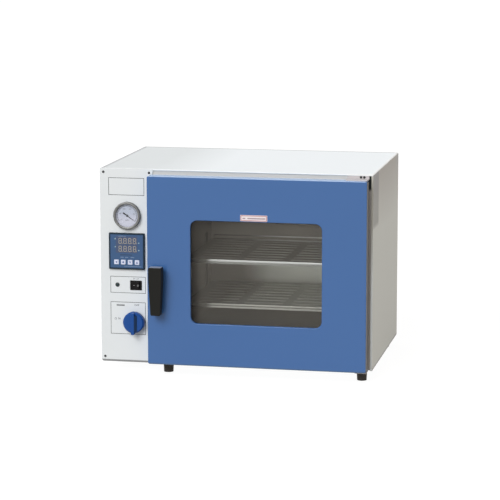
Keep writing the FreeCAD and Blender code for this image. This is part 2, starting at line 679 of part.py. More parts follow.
def make_front_frame():
    """Painted sheet behind the door, open for the chamber's mouth, with a fold all round."""
    body = new_body("front_frame")
    left = "split_x + seat_gap"
    right = "right_x - case_lip - seat_gap"
    low = "low_z + case_wall"
    high = "top_z - top_lip - seat_gap"
    rear = "frame_y + frame_fold"
    extrude(body, "sheet", "XZ", "frame_y", rear, lambda s: draw_box(s, left, right, low, high))
    extrude(body, "hollow", "XZ", "frame_rear", rear, lambda s: draw_box(
        s, left + " + frame_thick", right + " - frame_thick",
        low + " + frame_thick", high + " - frame_thick"), cut=True)
    extrude(body, "mouth", "XZ", "frame_y", "frame_rear", lambda s: draw_rounded(
        s, "door_mid - flange_x - seat_gap", "door_mid + flange_x + seat_gap",
        "door_rise - flange_z - seat_gap", "door_rise + flange_z + seat_gap", "chamber_corner"), cut=True)
    extrude(body, "latch_opening", "XZ", "frame_y", "frame_rear", latch_slot, cut=True)
    return body


def feet_circles(radius):
    def draw(sketch):
        for x in ("left_x + foot_left", "right_x - foot_right"):
            for y in ("front_y + foot_inset", "back_y - foot_inset"):
                draw_circle(sketch, x, y, radius)
    return draw


def make_base_pan():
    """Folded tray that closes the casing below, vented under the control bay."""
    body = new_body("base_pan")
    left = "left_x + case_wall + seat_gap"
    right = "right_x - case_wall - seat_gap"
    front = "front_y + frame_fold + frame_back + seat_gap"
    back = "back_y - case_wall - seat_gap"
    height = "low_z + pan_high"
    extrude(body, "tray", "XY", "low_z", height, lambda s: draw_box(s, left, right, front, back))
    extrude(body, "tray_hollow", "XY", "low_z + case_wall", height, lambda s: draw_box(
        s, left + " + case_wall", right + " - case_wall",
        front + " + case_wall", back + " - case_wall"), cut=True)
    holes = feet_circles("foot_shank + seat_gap")
    extrude(body, "foot_holes", "XY", "low_z", "low_z + case_wall", holes, cut=True)
    vent = extrude(body, "vent", "XY", "low_z", "low_z + case_wall", lambda s: draw_slot(
        s, "left_x + panel_wide / 2", "front_y + vent_back", "vent_long", "vent_wide"), cut=True)
    repeat(body, "vents", vent, ("Y", "vent_run", "vent_count"))
    return body


def make_rear_panel():
    """Back sheet with a column of louvres for the control bay."""
    body = new_body("rear_panel")
    face = "back_y - case_wall"
    extrude(body, "sheet", "XZ", face, "back_y", lambda s: draw_box(
        s, "left_x + case_wall + seat_gap", "right_x - case_wall - seat_gap",
        "low_z + case_wall", "top_z - case_wall - seat_gap"))
    middle = "left_x + panel_wide / 2"
    base = "low_z + louvre_up"
    hood = extrude(body, "hood", "YZ", middle + " - louvre_long / 2", middle + " + louvre_long / 2",
                   lambda s: draw_polygon(s, [
                       (face, base + " + louvre_high"), (face, base),
                       ("back_y + louvre_out - 1", base), ("back_y + louvre_out", base + " + 1"),
                       ("back_y + louvre_out", base + " + louvre_high / 3"),
                       ("back_y", base + " + louvre_high")]))
    repeat(body, "hoods", hood, ("Z", "louvre_run", "louvre_count"))
    scoop = extrude(body, "scoop", "YZ", middle + " - louvre_long / 2 + case_wall",
                    middle + " + louvre_long / 2 - case_wall", lambda s: draw_polygon(s, [
                        (face + " - 1", base + " - 1"), ("back_y + louvre_out - case_wall", base + " - 1"),
                        ("back_y + louvre_out - case_wall", base + " + louvre_high / 3"),
                        (face, base + " + louvre_high - 1.5"),
                        (face + " - 1", base + " + louvre_high - 1.5")]),
                    cut=True)
    repeat(body, "scoops", scoop, ("Z", "louvre_run", "louvre_count"))

    def fittings(sketch):
        x, z = "left_x + inlet_in", "low_z + inlet_up"
        wide = "(socket_wide / 2 + inlet_wall + seat_gap)"
        high = "(socket_high / 2 + inlet_wall + seat_gap)"
        draw_circle(sketch, "column_x", "valve_z", "pipe_radius + 1 + seat_gap")
        draw_box(sketch, x + " - " + wide, x + " + " + wide, z + " - " + high, z + " + " + high)
        draw_circle(sketch, x, z + " + fuse_up", "fuse_barrel + seat_gap")
    extrude(body, "fittings", "XZ", face, "back_y", fittings, cut=True)
    return body


def make_bay_partition():
    """Sheet between the control bay and the glass wool, on a foot fold."""
    body = new_body("bay_partition")
    front = "frame_y + frame_fold + partition_gap"
    back = "wool_end"
    low = "low_z + case_wall"
    extrude(body, "wall", "YZ", "bay_x", "bay_x + partition_thick", lambda s: draw_box(
        s, front, back, low, "top_z - case_wall - seat_gap"))
    extrude(body, "foot_fold", "XY", low, low + " + partition_thick", lambda s: draw_box(
        s, "bay_x - partition_foot", "bay_x", front + " + 2 * partition_gap", back))
    extrude(body, "pipe_hole", "YZ", "bay_x", "bay_x + partition_thick", lambda s: draw_circle(
        s, "port_y", "valve_z", "pipe_radius + seat_gap"), cut=True)
    return body


# Chamber and what surrounds it


def seal_ring(sketch):
    """Seal's outline round the chamber's mouth."""
    for reach in (" + seal_wide", ""):
        x, z = "(seal_x%s)" % reach, "(seal_z%s)" % reach
        draw_rounded(sketch, "door_mid - " + x, "door_mid + " + x, "door_rise - " + z, "door_rise + " + z,
                     "(chamber_corner + seal_in%s)" % reach)


def make_chamber():
    """Welded stainless box with a thick mouth flange that carries the seal."""
    body = new_body("chamber")
    extrude(body, "shell", "XZ", "mouth_y", "chamber_end + chamber_wall", lambda s: draw_rounded(
        s, "door_mid - half_wide - chamber_wall", "door_mid + half_wide + chamber_wall",
        "door_rise - half_high - chamber_wall", "door_rise + half_high + chamber_wall",
        "(chamber_corner + chamber_wall)"))
    extrude(body, "flange", "XZ", "mouth_y", "mouth_y + flange_thick", lambda s: draw_rounded(
        s, "door_mid - flange_x", "door_mid + flange_x",
        "door_rise - flange_z", "door_rise + flange_z", "chamber_corner"))
    extrude(body, "cavity", "XZ", "mouth_y", "chamber_end", lambda s: draw_rounded(
        s, "door_mid - half_wide", "door_mid + half_wide",
        "door_rise - half_high", "door_rise + half_high", "chamber_corner"), cut=True)
    extrude(body, "seal_groove", "XZ", "mouth_y", "mouth_y + seal_groove", seal_ring, cut=True)
    extrude(body, "suction_port", "YZ", "door_mid - half_wide - chamber_wall", "door_mid - half_wide",
            lambda s: draw_circle(s, "port_y", "valve_z", "pipe_bore"), cut=True)
    extrude(body, "probe_hole", "XZ", "chamber_end", "chamber_end + chamber_wall", lambda s: draw_circle(
        s, "door_mid", "door_rise + half_high - probe_down", "probe_radius + run_clear"), cut=True)
    return body


def make_chamber_seal():
    """Silicone ring in the flange's groove, with a softened front edge."""
    body = new_body("chamber_seal")
    extrude(body, "ring", "XZ", "seal_y", "mouth_y + seal_groove", seal_ring)
    soften(body, "lip", "seal_wide / 4", lambda e: near(e.BoundBox.YMin, "seal_y")
           and near(e.BoundBox.YMax, "seal_y"), kind="Chamfer")
    return body


def make_insulation():
    """Glass wool packed between the chamber and the casing."""
    body = new_body("insulation")
    left = "bay_x + partition_thick + seat_gap"
    right = "right_x - case_wall - seat_gap"
    low = "low_z + pan_high + seat_gap"
    extrude(body, "block", "XZ", "wool_front", "wool_end", lambda s: draw_box(
        s, left, right, low, "top_z - case_wall - seat_gap"))
    gap = "(chamber_wall + heater_thick + seat_gap)"
    extrude(body, "chamber_space", "XZ", "wool_front", "chamber_end + chamber_wall",
            lambda s: draw_box(
                s, "door_mid - half_wide - " + gap, "door_mid + half_wide + " + gap,
                "door_rise - half_high - " + gap, "door_rise + half_high + " + gap), cut=True)

    def rail_space(sketch):
        for side in ("-", "+"):
            middle = "door_mid %s rail_spread / 2" % side
            draw_box(sketch, middle + " - rail_wide / 2 - rail_play", middle + " + rail_wide / 2 + rail_play",
                     low, "floor_z - chamber_wall - heater_thick")
    extrude(body, "rail_spaces", "XZ", "wool_front", "wool_end", rail_space, cut=True)
    extrude(body, "pipe_space", "YZ", left, "door_mid - half_wide - chamber_wall", lambda s: draw_circle(
        s, "port_y", "valve_z", "pipe_radius + rail_play"), cut=True)
    extrude(body, "probe_space", "XZ", "chamber_end + chamber_wall", "wool_end", lambda s: draw_circle(
        s, "door_mid", "door_rise + half_high - probe_down",
        "probe_radius + probe_nut + rail_play"), cut=True)
    return body


def make_heater_plates():
    """Flat heating plates on the chamber's left, right and upper walls and under its floor."""
    body = new_body("heater_plates")
    front = "mouth_y + heater_inset"
    back = "chamber_end - heater_inset"

    def plates(sketch):
        out = "half_wide + chamber_wall"
        up = "half_high + chamber_wall"
        rise = "door_rise - half_high + heater_inset * 2"
        crest = "door_rise + half_high - heater_inset"
        draw_box(sketch, "door_mid - (%s) - heater_thick" % out, "door_mid - (%s)" % out, rise, crest)
        draw_box(sketch, "door_mid + (%s)" % out, "door_mid + (%s) + heater_thick" % out, rise, crest)
        draw_box(sketch, "door_mid - half_wide + heater_inset", "door_mid + half_wide - heater_inset",
                 "door_rise + " + up, "door_rise + %s + heater_thick" % up)
        inner = "(rail_spread / 2 - rail_wide)"
        draw_box(sketch, "door_mid - " + inner, "door_mid + " + inner,
                 "door_rise - (%s) - heater_thick" % up, "door_rise - (%s)" % up)
    extrude(body, "plates", "XZ", front, back, plates)
    return body


def make_chamber_rails():
    """Two channel rails between the base pan and the chamber's floor."""
    body = new_body("chamber_rails")
    low = "low_z + case_wall"
    high = "floor_z - chamber_wall"

    def channels(sketch):
        for side in ("-", "+"):
            middle = "door_mid %s rail_spread / 2" % side
            west = middle + " - rail_wide / 2"
            east = middle + " + rail_wide / 2"
            draw_polygon(sketch, [
                (west, low), (east, low),
                (east, low + " + rail_thick"), (west + " + rail_thick", low + " + rail_thick"),
                (west + " + rail_thick", high + " - rail_thick"), (east, high + " - rail_thick"),
                (east, high), (west, high)])
    extrude(body, "channels", "XZ", "front_y + rail_front", "chamber_end", channels)
    return body


def make_shelf_rack(name, side):
    """Two uprights against the chamber's side wall with a folded runner for each shelf."""
    body = new_body(name)
    wall = "door_mid %s half_wide" % side
    inward = "-" if side == "+" else "+"

    def strip(first, second):
        """Outline limits across X, given as distances from the wall, lower one first."""
        near_wall = "%s %s (%s)" % (wall, inward, first)
        off_wall = "%s %s (%s)" % (wall, inward, second)
        return (near_wall, off_wall) if inward == "+" else (off_wall, near_wall)

    front = "mouth_y + shelf_back + shelf_play + shelf_thick"
    back = "mouth_y + shelf_back + shelf_deep - shelf_play - shelf_thick"
    for level, rise in enumerate(("shelf_low", "shelf_low + shelf_apart")):
        top = "floor_z + %s - shelf_thick" % rise
        ledge = strip("rack_thick", "rack_thick + rack_reach")
        cheek = strip("rack_thick", "2 * rack_thick")
        extrude(body, "ledge_%d" % level, "XZ", front, back, lambda s: draw_box(
            s, ledge[0], ledge[1], top + " - rack_thick", top))
        extrude(body, "cheek_%d" % level, "XZ", front, back, lambda s: draw_box(
            s, cheek[0], cheek[1], top + " - rack_drop", top))
    post = strip("0", "rack_thick")
    for end, start in (("front", front + " + rack_post_in"), ("rear", back + " - rack_post_in - rack_post")):
        extrude(body, "post_" + end, "YZ", post[0], post[1], lambda s: draw_rounded(
            s, start, start + " + rack_post", "floor_z + chamber_corner",
            "floor_z + shelf_low + shelf_apart + 2 * rack_drop", "(rack_post / 4)"))
    return body


def make_shelf(name, rise):
    """Slotted stainless tray with its front and rear edges folded down."""
    body = new_body(name)
    half = "(half_wide - 2 * rack_thick - shelf_play)"
    left = "door_mid - " + half
    right = "door_mid + " + half
    front = "mouth_y + shelf_back"
    back = "mouth_y + shelf_back + shelf_deep"
    top = "floor_z + " + rise
    under = top + " - shelf_thick"
    slot = "((2 * %s - 2 * slot_inset - (slot_columns - 1) * slot_web) / slot_columns)" % half
    extrude(body, "sheet", "XY", under, top, lambda s: draw_box(s, left, right, front, back))
    for name_part, y0, y1 in (("front_edge", front, front + " + shelf_thick"),
                              ("rear_edge", back + " - shelf_thick", back)):
        extrude(body, name_part, "XY", top + " - shelf_edge", under, lambda s: draw_box(
            s, left, right, y0, y1))
    soften(body, "folds", "shelf_thick * 0.9", lambda e: runs_along(e, "x") and near(spot(e).z, top)
           and (near(spot(e).y, front) or near(spot(e).y, back)))
    first = extrude(body, "slot", "XY", under, top, lambda s: draw_box(
        s, left + " + slot_inset", left + " + slot_inset + " + slot,
        front + " + slot_inset", front + " + slot_inset + slot_wide"), cut=True)
    repeat(body, "slots", first, ("X", "2 * %s - 2 * slot_inset - %s" % (half, slot), "slot_columns"),
           ("Y", "shelf_deep - 2 * slot_inset - slot_wide", "slot_rows"))
    return body


def make_temperature_probe():
    """Sheathed probe through the chamber's rear wall, with its gland nut behind."""
    body = new_body("temperature_probe")
    centre = ("door_mid", "0", "door_rise + half_high - probe_down")
    tip = "chamber_end - probe_long"
    outside = "chamber_end + chamber_wall"
    nut = "probe_radius + probe_nut"
    turn(body, "probe", "Y", centre, [
        (tip, "0"), (tip, "probe_radius * 0.6"), (tip + " + probe_radius * 0.6", "probe_radius"),
        (outside, "probe_radius"), (outside, nut), (outside + " + probe_nut_long", nut),
        (outside + " + probe_nut_long", "probe_radius"),
        ("wool_end + probe_tail", "probe_radius"), ("wool_end + probe_tail", "0")])
    return body


# Door


def make_door_skin():
    """Folded door tray with round corners and an inward fold round the window."""
    body = new_body("door_skin")
    extrude(body, "tray", "XZ", "door_face", "door_back", lambda s: draw_rounded(
        s, "door_left", "door_right", "door_low", "door_top", "door_corner"))
    soften(body, "front_bend", "door_bend", lambda e: near(e.BoundBox.YMin, "door_face")
           and near(e.BoundBox.YMax, "door_face"))
    extrude(body, "hollow", "XZ", "door_face + door_wall", "door_back", lambda s: draw_rounded(
        s, "door_left + door_wall", "door_right - door_wall", "door_low + door_wall", "door_top - door_wall",
        "(door_corner - door_wall)"), cut=True)
    extrude(body, "window_fold", "XZ", "door_face + door_wall", "pane_front", lambda s: draw_rounded(
        s, "door_mid - window_wide / 2 - door_wall", "door_mid + window_wide / 2 + door_wall",
        "door_rise - window_high / 2 - door_wall", "door_rise + window_high / 2 + door_wall",
        "(window_corner + door_wall)"))
    extrude(body, "window", "XZ", "door_face", "pane_front", lambda s: draw_rounded(
        s, "door_mid - window_wide / 2", "door_mid + window_wide / 2",
        "door_rise - window_high / 2", "door_rise + window_high / 2", "window_corner"), cut=True)
    soften(body, "window_bend", "door_wall * 0.9", lambda e: near(e.BoundBox.YMin, "door_face")
           and near(e.BoundBox.YMax, "door_face")
           and e.BoundBox.XMin > value("door_mid - window_wide / 2 - 1")
           and e.BoundBox.XMax < value("door_mid + window_wide / 2 + 1"), kind="Chamfer")
    bush = "pin_radius + run_clear + bush_wall"
    for name, z0, z1 in (("lower_bush_hole", "door_low", "door_low + door_corner"),
                         ("upper_bush_hole", "door_top - door_corner", "door_top")):
        extrude(body, name, "XY", z0, z1, lambda s: draw_circle(s, "pin_x", "pin_y", bush), cut=True)
    extrude(body, "shaft_hole", "XZ", "door_face", "door_face + door_wall", lambda s: draw_circle(
        s, "latch_x", "latch_z", "shaft_radius + run_clear + 2"), cut=True)
    return body


def make_door_inner_frame():
    """Stainless ring that closes the door's back and carries the glass in a stepped seat."""
    body = new_body("door_inner_frame")
    seat = "(glass_x + seat_gap)"
    rise = "(glass_z + seat_gap)"
    inset = "(door_wall + seat_gap)"
    extrude(body, "back_plate", "XZ", "door_back - ring_thick", "door_back", lambda s: draw_rounded(
        s, "door_left + " + inset, "door_right - " + inset, "door_low + " + inset, "door_top - " + inset,
        "(door_corner - %s)" % inset))
    extrude(body, "seat_box", "XZ", "seat_front", "door_back - ring_thick", lambda s: draw_box(
        s, "door_mid - %s - ring_thick" % seat, "door_mid + %s + ring_thick" % seat,
        "door_rise - %s - ring_thick" % rise, "door_rise + %s + ring_thick" % rise))
    extrude(body, "glass_space", "XZ", "seat_front + ring_thick", "door_back", lambda s: draw_box(
        s, "door_mid - " + seat, "door_mid + " + seat,
        "door_rise - " + rise, "door_rise + " + rise), cut=True)
    extrude(body, "sight_opening", "XZ", "seat_front", "seat_front + ring_thick", lambda s: draw_rounded(
        s, "door_mid - glass_x + ring_seat", "door_mid + glass_x - ring_seat",
        "door_rise - glass_z + ring_seat", "door_rise + glass_z - ring_seat", "window_corner"), cut=True)
    extrude(body, "shaft_hole", "XZ", "door_back - ring_thick", "door_back", lambda s: draw_circle(
        s, "latch_x", "latch_z", "shaft_radius + 1"), cut=True)
    return body


def make_door_glass():
    """Toughened glass that closes on the chamber's seal."""
    body = new_body("door_glass")
    extrude(body, "glass", "XZ", "glass_front", "door_back", lambda s: draw_rounded(
        s, "door_mid - glass_x", "door_mid + glass_x", "door_rise - glass_z", "door_rise + glass_z",
        "(ring_seat / 3)"))
    soften(body, "ground_edge", "1", lambda e: near(e.BoundBox.YMin, "door_back")
           and near(e.BoundBox.YMax, "door_back"), kind="Chamfer")
    return body


def make_glass_cushion():
    """Silicone strip between the glass and its seat."""
    body = new_body("glass_cushion")

    def strip(sketch):
        draw_box(sketch, "door_mid - glass_x", "door_mid + glass_x",
                 "door_rise - glass_z", "door_rise + glass_z")
        draw_rounded(sketch, "door_mid - glass_x + ring_seat", "door_mid + glass_x - ring_seat",
                     "door_rise - glass_z + ring_seat", "door_rise + glass_z - ring_seat", "window_corner")
    extrude(body, "strip", "XZ", "glass_front - cushion_thick", "glass_front", strip)
    return body


def make_glass_clamps():
    """Eight small plates screwed on the inner frame that hold the glass edge."""
    body = new_body("glass_clamps")

    def sides(sketch):
        for side in ("-", "+"):
            inner = "(glass_x - clamp_bite)"
            outer = "(glass_x - clamp_bite + clamp_wide)"
            x0, x1 = ("door_mid - " + outer, "door_mid - " + inner) if side == "-" else (
                "door_mid + " + inner, "door_mid + " + outer)
            for end in ("-", "+"):
                middle = "door_rise %s glass_z / 2" % end
                draw_box(sketch, x0, x1, middle + " - clamp_long / 2", middle + " + clamp_long / 2")

    def ends(sketch):
        for side in ("-", "+"):
            inner = "(glass_z - clamp_bite)"
            outer = "(glass_z - clamp_bite + clamp_wide)"
            z0, z1 = ("door_rise - " + outer, "door_rise - " + inner) if side == "-" else (
                "door_rise + " + inner, "door_rise + " + outer)
            for end in ("-", "+"):
                middle = "door_mid %s glass_x / 2" % end
                draw_box(sketch, middle + " - clamp_long / 2", middle + " + clamp_long / 2", z0, z1)
    extrude(body, "side_clamps", "XZ", "door_back", "door_back + ring_thick / 2", sides)
    extrude(body, "end_clamps", "XZ", "door_back", "door_back + ring_thick / 2", ends)
    return body


def make_window_pane():
    """Outer pane behind the window's fold."""
    body = new_body("window_pane")
    extrude(body, "pane", "XZ", "pane_front", "pane_back", lambda s: draw_rounded(
        s, "door_mid - pane_x", "door_mid + pane_x",
        "door_rise - pane_z", "door_rise + pane_z", "window_corner"))
    return body


def make_pane_retainer():
    """Hat-shaped ring, fixed to the skin, that presses the outer pane on the window's fold."""
    body = new_body("pane_retainer")
    foot = "(door_wall * 8)"
    skin = "door_face + door_wall"

    def ring(grow, shrink):
        def draw(sketch):
            for reach in (grow, shrink):
                draw_rounded(sketch, "door_mid - pane_x - (%s)" % reach, "door_mid + pane_x + (%s)" % reach,
                             "door_rise - pane_z - (%s)" % reach, "door_rise + pane_z + (%s)" % reach,
                             "(window_corner + %s)" % reach)
        return draw
    extrude(body, "foot_flange", "XZ", skin, skin + " + door_wall", ring("seat_gap + " + foot, "seat_gap"))
    outside = "seat_gap + door_wall"
    rear = "pane_back + door_wall"
    extrude(body, "wall", "XZ", skin, rear, ring(outside, "seat_gap"))
    extrude(body, "press_flange", "XZ", "pane_back", rear, ring(outside, "-pane_lap / 2"))
    return body


def make_door_bushes():
    """Two hinge bushes in the door's ends and the flanged bush of the handle's shaft."""
    body = new_body("door_bushes")
    outer = "pin_radius + run_clear + bush_wall"
    inner = "pin_radius + run_clear"
    turn(body, "lower_bush", "Z", ("pin_x", "pin_y", "0"), [
        ("door_low", inner), ("door_low + bush_long", inner),
        ("door_low + bush_long", outer), ("door_low", outer)])
    turn(body, "upper_bush", "Z", ("pin_x", "pin_y", "0"), [
        ("door_top - bush_long", inner), ("door_top", inner),
        ("door_top", outer), ("door_top - bush_long", outer)])
    bore = "shaft_radius + run_clear"
    turn(body, "shaft_bush", "Y", ("latch_x", "0", "latch_z"), [
        ("door_face - 1.5", bore), ("door_face - 1.5", bore + " + 5"), ("door_face", bore + " + 6"),
        ("door_face", bore + " + 2"), ("door_face + 14", bore + " + 2"), ("door_face + 14", bore)])
    return body


def make_label_plate():
    """Thin blank plate on the door over the window."""
    body = new_body("label_plate")
    middle = "door_mid - plate_thick * 10"
    low = "door_rise + window_high / 2 + door_wall + plate_over"
    extrude(body, "plate", "XZ", "door_face - plate_thick", "door_face", lambda s: draw_rounded(
        s, middle + " - plate_wide / 2", middle + " + plate_wide / 2", low, low + " + plate_high", "1.5"))
    return body


# Hinge and latch


def make_hinge_brackets():
    """Upper and lower angle brackets on the front frame, each with its pin."""
    body = new_body("hinge_brackets")
    nose = "pin_y - bracket_nose"
    reach = "pin_x + pin_in"
    upper = "door_top + seat_gap"
    lower = "door_low - seat_gap - bracket_thick"
    extrude(body, "upper_leaf", "XY", upper, upper + " + bracket_thick", lambda s: draw_box(
        s, reach + " - bracket_wide", reach, nose, "frame_y"))
    extrude(body, "upper_leg", "XZ", "frame_y - bracket_thick", "frame_y", lambda s: draw_box(
        s, reach + " - bracket_wide", reach, upper, "top_z - top_lip - seat_gap"))
    extrude(body, "lower_leaf", "XY", lower, lower + " + bracket_thick", lambda s: draw_box(
        s, reach + " - 2 * pin_in - bracket_nose", reach, nose, "frame_y"))
    extrude(body, "lower_leg", "XZ", "frame_y - bracket_thick", "frame_y", lambda s: draw_box(
        s, reach + " - 2 * pin_in - bracket_nose", reach, lower, lower + " + bracket_foot"))
    extrude(body, "upper_pin", "XY", "door_top - pin_long", upper, lambda s: draw_circle(
        s, "pin_x", "pin_y", "pin_radius"))
    extrude(body, "lower_pin", "XY", lower + " + bracket_thick", "door_low + pin_long", lambda s: draw_circle(
        s, "pin_x", "pin_y", "pin_radius"))
    soften(body, "leaf_corners", "4", lambda e: runs_along(e, "z") and near(spot(e).y, nose)
           and e.BoundBox.ZLength < value("bracket_thick + 1"))
    return body


def make_hinge_screws():
    """Countersunk screws of both hinge brackets, two each."""
    body = new_body("hinge_screws")
    upper = "(door_top + top_z - top_lip + bracket_thick) / 2"
    spots = [("pin_x - 10.4", upper), ("pin_x - 1.7", upper),
             ("pin_x - 8", "door_low + 12"), ("pin_x - 8", "door_low + 22")]

    def heads(radius):
        def draw(sketch):
            for x, z in spots:
                draw_circle(sketch, x, z, radius)
        return draw
    face = "frame_y - bracket_thick"
    extrude(body, "heads", "XZ", face + " - hinge_head", face, heads("hinge_screw"))
    return body


def make_latch_striker():
    """Plate behind the front frame that the cam turns behind."""
    body = new_body("latch_striker")
    middle = "latch_z + cam_long / 3"
    extrude(body, "plate", "XZ", "frame_rear", "striker_rear", lambda s: draw_box(
        s, "latch_x - striker_wide / 2 - 2", "latch_x + striker_wide / 2 - 4",
        middle + " - striker_high / 2", middle + " + striker_high / 2"))
    extrude(body, "slot", "XZ", "frame_rear", "striker_rear", latch_slot, cut=True)
    return body


def make_handle_shaft():
    """Shaft from the handle's hub through the door to the cam."""
    body = new_body("handle_shaft")
    turn(body, "shaft", "Y", ("latch_x", "0", "latch_z"), [
        ("door_face - handle_gap", "0"), ("door_face - handle_gap", "shaft_radius"),
        ("cam_y", "shaft_radius"), ("cam_y", "0")])
    return body


def make_latch_cam():
    """Cam on the shaft's end; it stands upright at rest and turns sideways to hold the door."""
    body = new_body("latch_cam")
    extrude(body, "cam", "XZ", "cam_y", "cam_y + cam_thick", lambda s: draw_box(
        s, "latch_x - cam_wide / 2", "latch_x + cam_wide / 2",
        "latch_z - shaft_radius", "latch_z + cam_long"))
    soften(body, "cam_lead", "2.5", lambda e: runs_along(e, "y"), kind="Fillet")
    return body


def make_door_handle():
    """Tapered lever with a hub, set off from the door by the finger gap."""
    body = new_body("door_handle")
    high = "latch_z + handle_above"
    low = "latch_z - handle_below"
    rear = "door_face - handle_gap"

    def lever(sketch):
        draw_polygon(sketch, [
            ("latch_x - handle_tip / 2", low), ("latch_x + handle_tip / 2", low),
            ("latch_x + handle_head / 2", "latch_z - handle_above"), ("latch_x + handle_head / 2", high),
            ("latch_x - handle_head / 2", high), ("latch_x - handle_head / 2", "latch_z - handle_above")])
    extrude(body, "lever", "XZ", "handle_face", rear, lever)
    before = "handle_face - handle_lean"
    extrude(body, "front_slope", "YZ", "latch_x - handle_head", "latch_x + handle_head",
            lambda s: draw_polygon(s, [
                ("handle_face", high), (before, high), (before, low), ("handle_face + handle_lean", low)]),
            cut=True)
    soften(body, "corners", "handle_round", lambda e: runs_along(e, "y"))
    soften(body, "front_edges", "handle_round / 2",
           lambda e: e.BoundBox.YMax < value("handle_face + handle_lean") + 0.1)
    turn(body, "hub", "Y", ("latch_x", "0", "latch_z"), [
        (rear, "shaft_radius"), (rear, "hub_radius"), ("door_face - 3", "hub_radius - 2"),
        ("door_face - 3", "shaft_radius")])
    return body


# Vacuum gauge


def gauge_centre():
    return ("column_x", "0", "gauge_z")


def make_gauge_case():
    """Closed cup behind the panel with a stem at its back."""
    body = new_body("gauge_case")
    floor = "front_y + gauge_deep"
    turn(body, "cup", "Y", gauge_centre(), [
        ("gauge_mouth", "gauge_body - gauge_wall"), ("gauge_mouth", "gauge_body"),
        (floor + " - 2", "gauge_body"),
        (floor, "gauge_body - 2"), (floor, "stem_radius"), (floor + " + stem_long", "stem_radius"),
        (floor + " + stem_long", "0"), (floor + " - gauge_wall", "0"),
        (floor + " - gauge_wall", "gauge_body - gauge_wall - 2"),
        (floor + " - gauge_wall - 2", "gauge_body - gauge_wall")])
    return body


def make_gauge_bezel():
    """Stepped rim in front of the panel, with a sloped inner face."""
    body = new_body("gauge_bezel")
    front = "front_y - gauge_proud"
    turn(body, "rim", "Y", gauge_centre(), [
        ("front_y", "gauge_body"), ("front_y", "gauge_rim"), (front + " + 2.5", "gauge_rim"),
        (front, "gauge_rim - 2.5"), (front, "gauge_rim - 5"), ("lens_y", "dial_radius - 1.5"),
        ("lens_y + lens_thick", "dial_radius - 1.5"), ("lens_y + lens_thick", "dial_radius + 0.3"),
        ("gauge_mouth", "dial_radius + 0.3"), ("gauge_mouth", "gauge_body")])
    return body


def make_gauge_dial():
    """Round dial plate with the needle's pivot, seated on a ledge ring."""
    body = new_body("gauge_dial")
    turn(body, "dial", "Y", gauge_centre(), [
        ("dial_y + dial_thick", "0"), ("dial_y + dial_thick", "dial_radius"), ("dial_y", "dial_radius"),
        ("dial_y", "pivot_radius * 2"), ("needle_y + needle_thick", "pivot_radius"),
        ("needle_y - needle_thick", "pivot_radius"), ("needle_y - needle_thick", "0")])
    return body


def make_gauge_lens():
    """Clear disc held behind the bezel's lip."""
    body = new_body("gauge_lens")
    turn(body, "lens", "Y", gauge_centre(), [
        ("lens_y", "0"), ("lens_y", "dial_radius - 1.6"), ("lens_y + lens_thick", "dial_radius - 1.6"),
        ("lens_y + lens_thick", "dial_radius"), ("lens_y + 2 * lens_thick", "dial_radius"),
        ("lens_y + 2 * lens_thick", "0")])
    return body


def make_gauge_needle():
    """Pointer on its pivot, drawn level and turned to its resting angle."""
    body = new_body("gauge_needle")
    body.Placement = FreeCAD.Placement(V(0, 0, 0), FreeCAD.Rotation(V(0, 1, 0), value("needle_angle")))
    bind(body, "Placement.Base.x", "column_x")
    bind(body, "Placement.Base.z", "gauge_z")
    bind(body, "Placement.Rotation.Angle", "needle_angle")
    pivot_half = "needle_broad * 0.65"
    tip_half = "needle_broad / 8"
    extrude(body, "blade", "XZ", "needle_y", "needle_y + needle_thick", lambda s: draw_polygon(s, [
        ("-needle_tail", "-needle_broad"), ("0", "-" + pivot_half), ("needle_reach", "-" + tip_half),
        ("needle_reach", tip_half), ("0", pivot_half), ("-needle_tail", "needle_broad")]))
    extrude(body, "hub", "XZ", "needle_y", "needle_y + needle_thick", lambda s: draw_circle(
        s, "0", "0", "needle_hub"))
    extrude(body, "bore", "XZ", "needle_y", "needle_y + needle_thick", lambda s: draw_circle(
        s, "0", "0", "pivot_radius + run_clear"), cut=True)
    return body


# Temperature controller


def make_controller_bezel():
    """Square black surround in front of the panel."""
    body = new_body("controller_bezel")
    half = "control_size / 2"
    inner = "(control_size / 2 - control_rim)"
    extrude(body, "block", "XZ", "bezel_y", "front_y", lambda s: draw_rounded(
        s, "control_x - " + half, "control_x + " + half, "control_z - " + half, "control_z + " + half, "2"))
    soften(body, "front_edge", "control_rim / 4", lambda e: near(e.BoundBox.YMin, "bezel_y")
           and near(e.BoundBox.YMax, "bezel_y"), kind="Chamfer")
    extrude(body, "recess", "XZ", "bezel_y", "front_y", lambda s: draw_box(
        s, "control_x - " + inner, "control_x + " + inner,
        "control_z - " + inner, "control_z + " + inner), cut=True)
    return body


def make_controller_case():
    """Case behind the panel, open at its front, with a terminal recess at its back."""
    body = new_body("controller_case")
    half = "control_case / 2"
    end = "front_y + control_deep"
    extrude(body, "block", "XZ", "front_y", end, lambda s: draw_rounded(
        s, "control_x - " + half, "control_x + " + half, "control_z - " + half, "control_z + " + half, "1.5"))
    extrude(body, "hollow", "XZ", "front_y", end + " - 2", lambda s: draw_box(
        s, "control_x - %s + 2" % half, "control_x + %s - 2" % half,
        "control_z - %s + 2" % half, "control_z + %s - 2" % half), cut=True)
    return body


def key_centres():
    return ["control_x + (%s) * key_pitch" % step for step in ("-1.5", "-0.5", "0.5", "1.5")]


def display_box(sketch, play="0"):
    draw_rounded(sketch, "control_x - display_wide / 2 - " + play, "control_x + display_wide / 2 + " + play,
                 "control_z + display_up - display_high / 2 - " + play,
                 "control_z + display_up + display_high / 2 + " + play, "2")


